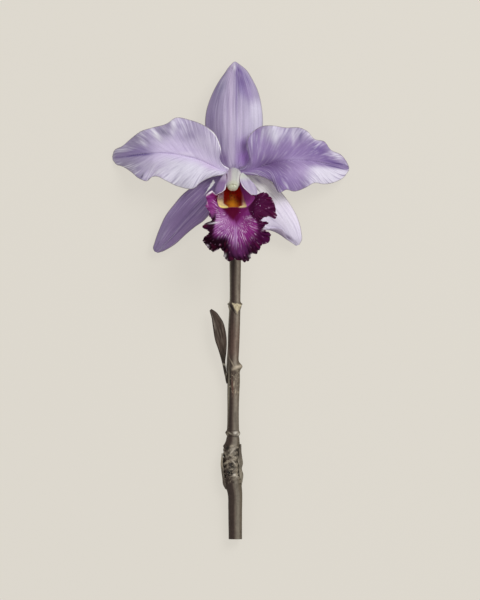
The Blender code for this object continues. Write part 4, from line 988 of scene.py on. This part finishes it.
# A place round the lip is counted by the points of its margin, and a section along it from 0 at
# the claw through 5 at the tube's mouth, 6 at the crown and 7 at the frill's foot to 8 at the edge.
LIP_MARGIN = [
    (-13.2, -11.4, 49), (-16.8, -14.4, 49.5), (-15.9, -18, 48.5), (-17.1, -21, 50),
    (-14.9, -24, 49), (-14.9, -26.6, 49.2), (-13, -29.4, 47.6), (-16.6, -31.0, 46.5),
    (-18.9, -33.2, 45.6), (-15, -35.9, 46.8), (-15.8, -37.8, 44.8), (-18.9, -40.8, 42.6),
    (-17.1, -43.6, 44.6), (-14.4, -46.8, 42.4), (-12, -48, 41.8), (-8.4, -46.2, 44.6),
    (-5.8, -48.2, 42.4), (-6, -51.6, 40), (-3, -53.6, 40.4), (0, -52.6, 42.4),
    (3.6, -53.2, 41.6), (7.4, -54, 40), (10.2, -51.2, 40.8), (9.8, -49.2, 43),
    (12.6, -49.2, 41.2), (14.9, -47.2, 41.8), (15.8, -45.6, 43.4), (17.2, -43, 44.4),
    (19.8, -43.1, 42.4), (21.8, -39.6, 42.8), (21.2, -36.6, 44.4), (18.6, -35.2, 46),
    (17.6, -33.8, 45.2), (18.6, -32.4, 44.8), (20.6, -30.6, 44.6), (18.2, -30.6, 45.6),
    (15.4, -29.8, 47.4), (18, -27.8, 49), (21.6, -27.1, 50), (25.2, -27.8, 48.8),
    (24.9, -24, 48), (24.3, -20.4, 49.6), (22.8, -16.9, 48.4), (21, -14.5, 49.8),
    (18.6, -12.6, 49), (15.4, -13.2, 49.2),
]
FRILL_FOOT = np.array([
    (0, -10.8, -13.8, 48.5), (1.5, -12.2, -15.8, 49.4), (3, -12.6, -19.4, 49.2),
    (4.5, -11.4, -23.6, 49), (6, -10.2, -27.6, 48.6), (8, -11.2, -32.4, 47.8),
    (10, -12.2, -37.6, 46.8), (12, -12.4, -41.6, 46), (14, -9.4, -43, 45.6),
    (16, -5.6, -43.4, 45.4), (18, -3, -46.6, 44.8), (19, 0.2, -48.8, 44.6),
    (21, 5.2, -48.6, 44.4), (23, 7.8, -46.2, 45), (25, 10.8, -44.2, 45.2),
    (27, 12.8, -40.8, 46.2), (29, 15, -37.6, 46.4), (31, 14.6, -34.6, 47),
    (33, 13.8, -32.2, 47.4), (34.5, 13, -30.4, 47.8), (36, 12.2, -28.2, 48.6),
    (38, 15, -25, 49.8), (40, 18.2, -22, 50), (42, 18.4, -17.6, 50),
    (44, 16, -14.8, 49.6), (45, 12.8, -14.3, 48.4),
])
LIP_PLACES = [0, 3, 8, 19, 31, 40, 45]
LIP_TUBE = [
    [(-2.3, -2.8, 16.1), (-1.6, -3.1, 15.9), (-0.8, -3.3, 15.8), (0, -3.4, 15.8),
     (0.8, -3.3, 15.8), (1.6, -3.1, 15.9), (2.3, -2.8, 16.1)],
    [(-4.9, -2.8, 18.9), (-4.7, -4.4, 18.0), (-2.9, -5.8, 17.3), (0, -6.4, 17.0),
     (3.0, -5.8, 17.3), (4.9, -4.4, 18.0), (5.1, -2.6, 18.9)],
    [(-5.1, -0.6, 22.8), (-6.9, -3.2, 21), (-5.6, -8.2, 19.5), (0, -9.6, 19),
     (5.8, -8.2, 19.5), (7.6, -3.2, 21), (5.3, -0.4, 22.8)],
    [(-4.6, -2.6, 32), (-8.3, -5.0, 30.5), (-9.4, -11.6, 27), (0.2, -15.0, 25.8),
     (10.0, -11.6, 27), (9.5, -5.0, 30.5), (3.7, -2.6, 32.2)],
    [(-4.6, -9.4, 39.5), (-10.4, -9.8, 38.5), (-10.2, -16.6, 35), (-0.4, -19.6, 33.8),
     (10.0, -16.8, 35), (12.8, -10.2, 38), (4.3, -7.8, 39)],
    [(-7.0, -12.2, 45.5), (-9.8, -14.4, 45), (-9.5, -20.8, 42.6), (-0.6, -22.3, 41.5),
     (8.8, -21.5, 42.6), (12.8, -15.2, 45), (9.8, -13.5, 45)],
]
LIP_CROWN = [0.2, 1.2, 4.0, 7.0, 4.4, 1.4, 0.2]
# The point of the throat that its veins and its bright strokes fan out from.
LIP_HEART = (1.0, -28.0)

# The tube's rings, the crown, the frill's foot and the margin, joined and then faired.
place = np.linspace(0, len(LIP_MARGIN) - 1, FORM_COLUMNS)
sections = [smooth(LIP_PLACES, ring, place) for ring in LIP_TUBE]
foot = smooth(FRILL_FOOT[:, 0], FRILL_FOOT[:, 1:], place)
crown = (sections[-1] + foot) / 2
crown[:, 2] += smooth(LIP_PLACES, LIP_CROWN, place)
mouth = len(sections) - 1
sections = np.array([
    *sections, crown, foot, smooth(np.arange(len(LIP_MARGIN)), LIP_MARGIN, place)])
edge = len(sections) - 1
levels = np.concatenate([
    np.linspace(0, mouth, TUBE_ROWS, endpoint=False), np.linspace(mouth, edge, FLARE_ROWS)])
form = smooth(np.arange(edge + 1), sections.reshape(edge + 1, -1), levels)
form = form.reshape(-1, FORM_COLUMNS, 3)
first = TUBE_ROWS + 1
for _ in range(FAIRING):
    beside = form[first:-1, :-2] + form[first:-1, 2:]
    beside = beside + form[first - 1:-2, 1:-1] + form[first + 1:, 1:-1]
    form[first:-1, 1:-1] = (form[first:-1, 1:-1] + beside / 4) / 2

rows = len(form)
row = np.linspace(0, rows - 1, LIP_ROWS)
fine = smooth(np.arange(rows), form.reshape(rows, -1), row).reshape(LIP_ROWS, -1, 3)
column = np.linspace(0, FORM_COLUMNS - 1, LIP_COLUMNS)
fine = smooth(np.arange(FORM_COLUMNS), fine.swapaxes(0, 1).reshape(FORM_COLUMNS, -1), column)
grid = fine.reshape(LIP_COLUMNS, LIP_ROWS, 3).swapaxes(0, 1)
section = np.interp(row, np.arange(rows), levels)[:, None] + 0 * column
place = np.linspace(0, len(LIP_MARGIN) - 1, LIP_COLUMNS)[None] + 0 * section
side_edge = np.minimum(place, len(LIP_MARGIN) - 1 - place)
frill = ramp(section, 6.3, 8)

# The frill's ripples, crinkles and nicks, and the raised veins of the front.
lift = np.cross(np.gradient(grid, axis=0), np.gradient(grid, axis=1))
lift /= np.maximum(np.linalg.norm(lift, axis=-1, keepdims=True), 1e-9)
away = np.gradient(grid, axis=0)
away /= np.maximum(np.linalg.norm(away, axis=-1, keepdims=True), 1e-9)
from_x, from_y = grid[..., 0] - LIP_HEART[0], grid[..., 1] - LIP_HEART[1]
heart, reach = np.arctan2(from_y, from_x), np.hypot(from_y, from_x)
flare = ramp(section, 5.0, 5.6)
ripple = np.sin(2 * np.pi * (place * 0.9 + 0.5 * mottle(place / 1.7, section, 121)))
crinkle = np.sin(2 * np.pi * (place * 2.9 + 0.6 * mottle(place, section, 122)))
ruffle = 0.6 * frill**1.5 * ripple + 0.07 * frill**3 * crinkle
vein = mottle(heart * 14, reach / 6, 123) + 0.5 * mottle(heart * 30, reach / 4, 124)
relief = ruffle + 0.07 * flare * vein * ramp(reach, 2, 8)
nicks = np.abs(np.sin(np.pi * (place * 0.9 + 0.5 * mottle(place * 0.8, 0 * place + 5, 125))))
scallop = 0.45 * ramp(section, 7.1, 8) * (nicks**0.6 - 0.75)
scallop = scallop + 0.16 * ramp(section, 7.6, 8) * mottle(place * 7.5, 0 * place + 9, 126)
ends = ramp(side_edge, 0, 1.2)
grid = grid + lift * (relief * ends)[..., None] + away * (scallop * ends)[..., None]

# Its face: a magenta front with bright broken strokes, a wine-red heart and a near-black frill.
x, y = grid[..., 0], grid[..., 1]
inner = dye(plain("8a3f86", grid), 0.9 * ramp(x, 2, 8) * ramp(-y, 24, 32), "862c78")
inner = blotch(inner, x, y, [
    (-7.5, -30.6, 7.5, 4.4, -60, "b07fb2", 0.9), (-11, -20, 6, 3.2, 80, "92478c", 0.8),
    (-5, -38, 6, 3.4, -60, "93559a", 0.7), (0.8, -45, 10, 1.5, 90, "93609b", 0.8),
    (9, -44, 6, 4, -60, "7a2673", 0.8), (9, -28, 4, 5, -60, "6a2260", 0.8),
    (-9.4, -24.4, 3.2, 1.5, -40, "7d3678", 0.8),
])
rays = np.sin(50 * heart + 1.3 * mottle(heart * 5, reach / 7, 127)) * ramp(reach, 2, 5)
rays = 0.75 * rays + 0.5 * mottle(heart * 16, reach / 6, 134)
broken = 0.2 + 0.8 * ramp(mottle(heart * 15, reach / 1.5, 128), -0.25, 0.4)
broken = broken * ramp(mottle(heart * 4, reach / 4, 135), -0.9, 0.3)
stroke = np.sin(62 * heart + 2.4 * mottle(heart * 7, reach / 2.6, 137)) * ramp(reach, 2, 5)
stroke = 0.7 * stroke + 0.6 * mottle(heart * 22, reach / 2.2, 138)
lit = ramp(reach, 2.5, 7) * ramp(-section, -7.7, -6.7) * flare
inner = paint(inner, [
    (0.6 * lit * ramp(-stroke, 0.0, 0.8), "6a1e60"),
    (0.85 * lit * ramp(stroke, 0.2, 0.7) * broken, "e4c8e3"),
])
front = ramp(section, 4.75, 4.95)
wide = 6.6 * (y + 30.8) / 8.4 + 0.3 * rays
wine = wide - np.abs(x - 1.5) + 2.0 * ramp(-x, -1, 3)
inner = paint(inner, [
    (ramp(wine, -2.0, 1.0) * front, "5c1046"),
    (0.8 * ramp(wide - np.abs(x + 0.6), 0.0, 2.4) * front, "4e041c"),
    (0.5 * ramp(wide - np.abs(x - 4.4), -1.5, 0.8) * ramp(x, 2, 5) * front, "702263"),
    (0.85 * hill(x, 1.0, 0.65) * ramp(-y, 32, 36) * flare, "9d6ca6"),
    (0.8 * (hill(x, 0.4, 0.2) + hill(x, 1.6, 0.2)) * ramp(-y, 31, 35) * flare, "bf9ac3"),
])
dark = ramp(section + 0.12 * rays, 6.35, 7.2)
inner = paint(inner, [
    (0.97 * dark * ramp(place, 4.5, 6), "260519"),
    (0.85 * dark * hill(place, 20.5, 2.2) * ramp(-section, -7.8, -7), "6b2f68"),
    (0.6 * dark * ramp(place, 24, 26) * ramp(-place, -36, -34), "4a0e40"),
    (0.6 * dark * ramp(-place, -6, -4), "7d256c"),
    (0.97 * ramp(-x - 0.4 * rays, 1.6, 5) * ramp(-y - 0.5 * rays, 37, 41.5) * flare, "19030f"),
])
lobe_edge = np.interp(
    -y, [12, 15, 18.9, 21.8, 24.8, 27.7, 30.7], [15, 12.9, 11, 8.6, 8.6, 11, 14.6])
lobe = ramp(x - lobe_edge, -0.4, 0.7) * ramp(place, 29, 31) * ramp(y, -32.5, -30.5) * front
inner = paint(inner, [
    (0.97 * lobe, "470f37"),
    (0.35 * lobe * ramp(rays, 0.6, 1.1) * broken, "8d4f80"),
])
fleck = mottle(place * 2.2, section * 4, 130)
inner = dye(inner, 0.4 * dark * ramp(fleck, 0.25, 0.8) * ramp(place, 6, 9), "561030")
stray = ramp(rays, 0.5, 0.9) * ramp(mottle(heart * 30, reach / 0.9, 136), 0.35, 0.7)
inner = dye(inner, 0.4 * dark * stray * ramp(place, 6, 8), "c58bb4")

# Its throat, inside the tube: red and gold in the middle, with cream cheeks. It is painted brighter
# than its own colours, most of all under the cap and on its mauve right wall, as painted light in
# the tube's shade.
throat = dye(plain("7a1410", grid), 0.9 * ramp(y, -18.5, -13) * ramp(-y, 8, 10.5), "e8331e")
speck = mottle(x * 1.5, y * 1.5, 131)
gold = hill(x + 0.4 * speck, -0.9, 1.7 + 1.3 * ramp(-y, 15, 20)) * ramp(-y + 2.0 * speck, 11.5, 18)
throat = paint(throat, [
    (0.97 * gold, "cf8420"),
    (gold * ramp(y, -17.5, -14.5) * ramp(-y, 8, 10.5), "ff9a4a"),
    (0.7 * ramp(speck, 0.1, 0.6) * hill(x, -0.8, 3.0) * ramp(y, -19.5, -17), "7a220e"),
])
left_edge = -6.1 + 2.8 * ramp(-y, 19, 21.8)
right_edge = 5.2 - 2.8 * ramp(-y, 20.2, 21.8)
cream = ramp(-y, 14.5, 19)
throat = paint(throat, [
    (ramp(left_edge - x, -0.3, 0.9), "b5a29c"),
    (ramp(left_edge - x, -0.3, 0.9) * ramp(y, -17, -14.5), "fff0fa"),
    (0.75 * ramp(left_edge - x, -0.2, 1.2) * cream, "f3dd9c"),
    (ramp(left_edge - x, -0.3, 0.8) * ramp(section, 4.35, 4.75) * cream, "fff08e"),
    (0.9 * hill(x, 5.7, 0.8) * ramp(-y, 11.5, 14), "f2b8a8"),
    (ramp(x - right_edge, -0.3, 1.2) * ramp(-y, 16.5, 20.4), "f0dc9c"),
    (ramp(x + (y + 17) / 3, 5.6, 7.0), "c463c4"),
])
inner = throat + (ramp(section, 4.79, 4.89) * (1 + 0 * x))[..., None] * (inner - throat)

# Its outside: dusky lilac, paler at the right, wine-red at the frill, with a painted highlight along
# the tube's rim.
outer = paint(plain("8b719a", grid), [
    (ramp(place, 20, 34), "bab0c7"),
    (0.35 * ramp(mottle(place * 1.4, section * 0.7, 132), 0.1, 0.8), "7f6696"),
    (0.9 * ramp(section, 5.6, 7.0), "5b1c4c"),
])
# rim is a painted highlight along the tube's free edge, faint near its top, laid on both faces.
rim = ramp(side_edge, 0.55, 0.1) * ramp(-section, -7, -5.6) * (0.15 + ramp(-y, 6.5, 9.5))
rim = 0.8 * np.clip(rim, 0, 1)
outer = paint(outer, [
    (ramp(y, -6.5, -2.5) * ramp(place, 22, 30), "cccfc6"),
    (0.9 * ramp(y, -7, -3) * ramp(-place, -22, -10), "c0b0c9"),
    (rim, "ece6ee"),
])
inner = dye(inner, rim, "ece6ee")
inner = blotch(inner, x, y, [
    (-5.4, -50.4, 1.2, 0.8, 70, "d8d2d6", 0.9), (10.4, -50.2, 1.4, 0.9, 30, "d8d0d6", 0.9),
    (-15.6, -44.2, 0.8, 0.45, -30, "d5c4d2", 0.8), (-12.2, -30.9, 3.0, 0.45, 8, "ece4ee", 0.95),
    (17.9, -34.4, 1.3, 0.6, 40, "d9c9d8", 0.85), (-14.4, -13.0, 3.4, 0.5, 34, "f3ecf3", 0.95),
    (-11.7, -12.8, 1.6, 0.5, -40, "efe6f0", 0.95), (-16.2, -19, 1.6, 0.4, -70, "d9b9d3", 0.7),
    (-16.2, -23.4, 2.0, 0.5, -75, "2b0a22", 0.9), (-14.2, -26.4, 3.0, 0.6, -75, "1f0618", 0.9),
    (-17.0, -32.4, 1.6, 0.8, 20, "5a1030", 0.7),
])
nick = ramp(section, 7.8, 8) * ramp(-nicks, -0.3, -0.12)
inner = dye(inner, 0.6 * nick, "d9b9cf")
velvet = finish_of(
    "velvet_lip", streaks=(1.2, 0.25), contrast=0.12, roughness=0.5, relief=0.05, speck=0.35,
    share=0.4, Specular_IOR_Level=0.03)
across = 2 * place / (len(LIP_MARGIN) - 1) - 1
# Turned end for end, so that the blade's face is the inside of the tube.
grid, across, round_lip, along_lip, inner, outer, glossy = (
    each[:, ::-1] for each in (
        grid, across, place * 1.5, section * 4, inner, outer, lit * ramp(-dark, -0.3, 0)))
lip = new_blade("ruffled_lip", grid, LIP_THICKNESS, across, (round_lip, along_lip), inner, outer,
                velvet, ["lip"])


# Column: stamen and style grown into one waxy club, rounded on its back and hollowed under its
# tip. It stands on the ovary's end and arches out over the lip's throat.
COLUMN_RINGS, COLUMN_SIDES = 91, 72
at = np.linspace(0, 1, COLUMN_RINGS)
column_line = [(0.0, -0.3, 17.35), (-0.1, -0.7, 20), (-0.2, -2.2, 26), (-0.4, -4.8, 32.5),
               (-0.6, -7.7, 37.5), (-0.7, -9.4, 40)]
path = smooth_line(column_line, at)
turn = np.linspace(0, 2 * np.pi, COLUMN_SIDES, endpoint=False)[None]
levels = [0, 0.07, 0.22, 0.5, 0.8, 0.93, 1]
across = smooth(levels, [3.2, 3.4, 4.5, 4.4, 3.7, 3.4, 3.1], at)[:, None]
deep = smooth(levels, [3.1, 3.2, 3.4, 3.1, 2.8, 2.6, 2.4], at)[:, None]
at = at[:, None]
belly = 1 - 0.22 * np.clip(np.sin(turn), 0, 1) ** 2
furrow = hill(np.cos(turn), 0.55, 0.12) + hill(np.cos(turn), -0.55, 0.12)
furrow = 0.16 * furrow * (np.sin(turn) < 0) * ramp(at, 0.1, 0.3) * ramp(-at, -0.95, -0.8)
wing = 0.25 * (hill(np.cos(turn), 1, 0.1) + hill(np.cos(turn), -1, 0.1)) * hill(at, 0.85, 0.12)
bulge = belly - furrow / 3 + wing / 3 + 0.008 * mottle(turn * 5, at * 12, 141)
rings = rings_along(path, across * bulge, deep * bulge, turn)
x = rings[..., 0]
pigment = paint(plain("c4c6bc", rings), [
    (0.8 * hill(x, -2.6, 1.3), "c0a9c2"),
    (ramp(-x, 3.0, 4.2), "bea6ca"),
    # The right flank is painted paler, as painted light where its side turns into shade, and the
    # furrows darker, as painted shade.
    (0.8 * ramp(x, 1.5, 3.4), "dcdcd6"),
    (0.8 * ramp(at, 0.8, 0.95) + 0 * x, "bdbfa9"),
    (0.3 * ramp(furrow, 0.05, 0.16), "9f99a0"),
    (0.2 * mottle(turn * 6, at * 3, 142), "a89fb0"),
])
waxy_club = finish_of(
    "waxy_column", streaks=(1.0, 0.2), contrast=0.06, roughness=0.34, relief=0.04, speck=0.6,
    share=0.4, Coat_Weight=0.12)
rings, faces, pigment = ring_body(rings, pigment, caps=(0.86, 0.6, 0.3), dip=0.9, code="b7a36f")
grain = round_grain(rings, 24, rings[..., 2])
new_piece("arched_column", rings.reshape(-1, 3), faces, grain, pigment, waxy_club,
          ["column"])


# Pollen masses: four hard lobes of waxy pollen, stuck in a cross to the column's end. The cap
# grows over them and hides them.
POLLEN_SIDES, POLLEN_RINGS, POLLEN_SEAT, POLLEN_HEIGHT = 96, 17, 0.3, 0.75
ends = smooth_line(column_line, [0.98, 1.0])
way = (ends[1] - ends[0]) / np.linalg.norm(ends[1] - ends[0])
turn = np.linspace(0, 2 * np.pi, POLLEN_SIDES, endpoint=False)[None]
rise = np.linspace(0, 1, POLLEN_RINGS)[:, None]
lobes = 0.75 + 0.45 * np.abs(np.cos(2 * turn)) ** 0.7
radius = (0.72 + 0.28 * np.sin(np.pi * np.clip(rise * 1.1, 0, 1)) ** 0.6) * lobes
path = ends[1] + (POLLEN_SEAT + POLLEN_HEIGHT * rise) * way
rings = rings_along(path, 1.1 * radius, radius, turn)
pigment = dye(plain("d9ab3a", rings), ramp(-lobes, -0.95, -0.8) + 0 * rise, "a4701c")
wax = finish_of(
    "pollen_wax", streaks=(1.0, 1.0), contrast=0.1, roughness=0.34, relief=0.03, speck=0.3,
    share=0.6)
rings, faces, pigment = ring_body(rings, pigment, caps=(0.8, 0.4), dip=0.0, code="dcb24a")
new_piece("pollen_masses", rings.reshape(-1, 3), faces, rings[..., :2].reshape(-1, 2), pigment,
          wax, ["pollinia"])


# Anther cap: the small cream cap over the pollen masses, a thin hollow shell with a groove down
# its middle. It sits on the rim of the column's end.
CAP_WALL, CAP_HEIGHT, CAP_HALF_WIDTH, CAP_HALF_DEPTH = 0.6, 1.8, 3.05, 2.35
CAP_SEAT, CAP_EDGE, CAP_RINGS = 0.3, 0.08, 25
side = np.array([1.0, 0.0, 0.0]) - way * way[0]
side /= np.linalg.norm(side)
up = np.cross(side, way)
tilt = np.linspace(0.06, np.pi / 2, CAP_RINGS)[:, None]
walls = []
for wall, grooved, lowest, order in ((CAP_WALL, 0, CAP_SEAT, 1), (0.0, 1, CAP_EDGE, -1)):
    groove = 0.14 * hill(np.cos(turn), 0, 0.14) * np.sin(tilt) * grooved
    reach = np.sin(tilt) * (1 - groove)
    high = CAP_SEAT + (CAP_HEIGHT - wall) * np.cos(tilt)
    high = np.maximum(high - 0.12 * hill(np.cos(turn), 0, 0.2) * grooved, lowest)
    wall_rings = (ends[1] + high[..., None] * way
                  + (reach * (CAP_HALF_WIDTH - wall) * np.cos(turn))[..., None] * side
                  + (reach * (CAP_HALF_DEPTH - wall) * np.sin(turn))[..., None] * up)
    walls.append(wall_rings[::order])
rings = np.concatenate(walls)
pigment = paint(plain("b9bba4", rings), [
    (0.9 * ramp(-rings[..., 1], 10.6, 11.5), "e9e3cc"),
    # The groove down its middle is darkened as painted shade.
    (0.3 * hill(rings[..., 0], -0.6, 0.3), "a3a08c"),
])
cap_skin = finish_of(
    "cap_skin", streaks=(1.0, 1.0), contrast=0.08, roughness=0.38, relief=0.03, speck=0.3,
    share=0.6, Coat_Weight=0.1)
rings, faces, pigment = ring_body(rings, pigment, caps=(0.3,), dip=0.0, code="cbc4ad")
new_piece("cream_anther_cap", rings.reshape(-1, 3), faces, rings[..., :2].reshape(-1, 2), pigment,
          cap_skin, ["anther_cap"])


# Lip glands: tiny pale swellings that make the front of the lip sparkle. They grow out of its
# face, thickest at the left of its throat.
gland = grained("gland", dark="a276a6", light="e3cbe2", size=0.4, roughness=0.4, relief=0.02)
thick = (0.15 + hill(grid[..., 0], -6.5, 6) * hill(grid[..., 1], -31, 7)) * glossy
beads_on("lip_glands", lip, np.concatenate([thick.ravel(), 0 * thick.ravel()]), amount=120.0,
         radius=0.14, height=0.6, seed=23, finish=gland)


# Studio: a plain pale paper that glows a little, so that shadows stay faint. The light is soft and
# comes from the upper right, with weaker lamps at the left and at the lower right. The camera
# looks straight down, as the flower lies on its back.
PAPER_SHADE, PAPER_LIT_SHARE, PAPER_GLOW = "ddd8ce", 0.16, 0.85
SKY_COLOUR, SKY_STRENGTH = (1.0, 0.99, 0.97, 1), 0.42
CAMERA_PLACE, CAMERA_LENS, CAMERA_SENSOR = (0.00558, 0.00024, 4.02), 400, 36
paper = bpy.data.meshes.new("paper")
paper.from_pydata([(-3, -3, 0), (3, -3, 0), (3, 3, 0), (-3, 3, 0)], [], [(0, 1, 2, 3)])
floor = bpy.data.objects.new("paper", paper)
bpy.context.scene.collection.objects.link(floor)
pale = bpy.data.materials.new("pale_paper")
pale.use_nodes = True
shader = pale.node_tree.nodes["Principled BSDF"]
shade = colour(PAPER_SHADE)
for socket, value in (
    ("Base Color", (*(PAPER_LIT_SHARE * shade), 1)), ("Roughness", 1.0),
    ("Specular IOR Level", 0.0), ("Emission Color", (*shade, 1)), ("Emission Strength", PAPER_GLOW),
):
    shader.inputs[socket].default_value = value
paper.materials.append(pale)

for name, place, size, power in (
    ("key", (0.75, 0.85, 1.3), 0.9, 19.0), ("fill", (-1.1, -0.5, 1.2), 1.2, 4.0),
    ("low", (0.9, -1.2, 0.65), 0.9, 3.0),
):
    lamp = bpy.data.lights.new(name, "AREA")
    lamp.size, lamp.energy = size, power
    light = bpy.data.objects.new(name, lamp)
    light.location = place
    light.rotation_euler = (-Vector(place)).to_track_quat("-Z", "Y").to_euler()
    bpy.context.scene.collection.objects.link(light)
world = bpy.data.worlds.new("studio")
world.use_nodes = True
sky = world.node_tree.nodes["Background"]
sky.inputs["Color"].default_value, sky.inputs["Strength"].default_value = SKY_COLOUR, SKY_STRENGTH
bpy.context.scene.world = world
bpy.context.scene.view_settings.view_transform = "Standard"

lens = bpy.data.cameras.new("camera")
lens.lens, lens.sensor_width = CAMERA_LENS, CAMERA_SENSOR
camera = bpy.data.objects.new("camera", lens)
camera.location = CAMERA_PLACE
bpy.context.scene.collection.objects.link(camera)
bpy.context.scene.camera = camera
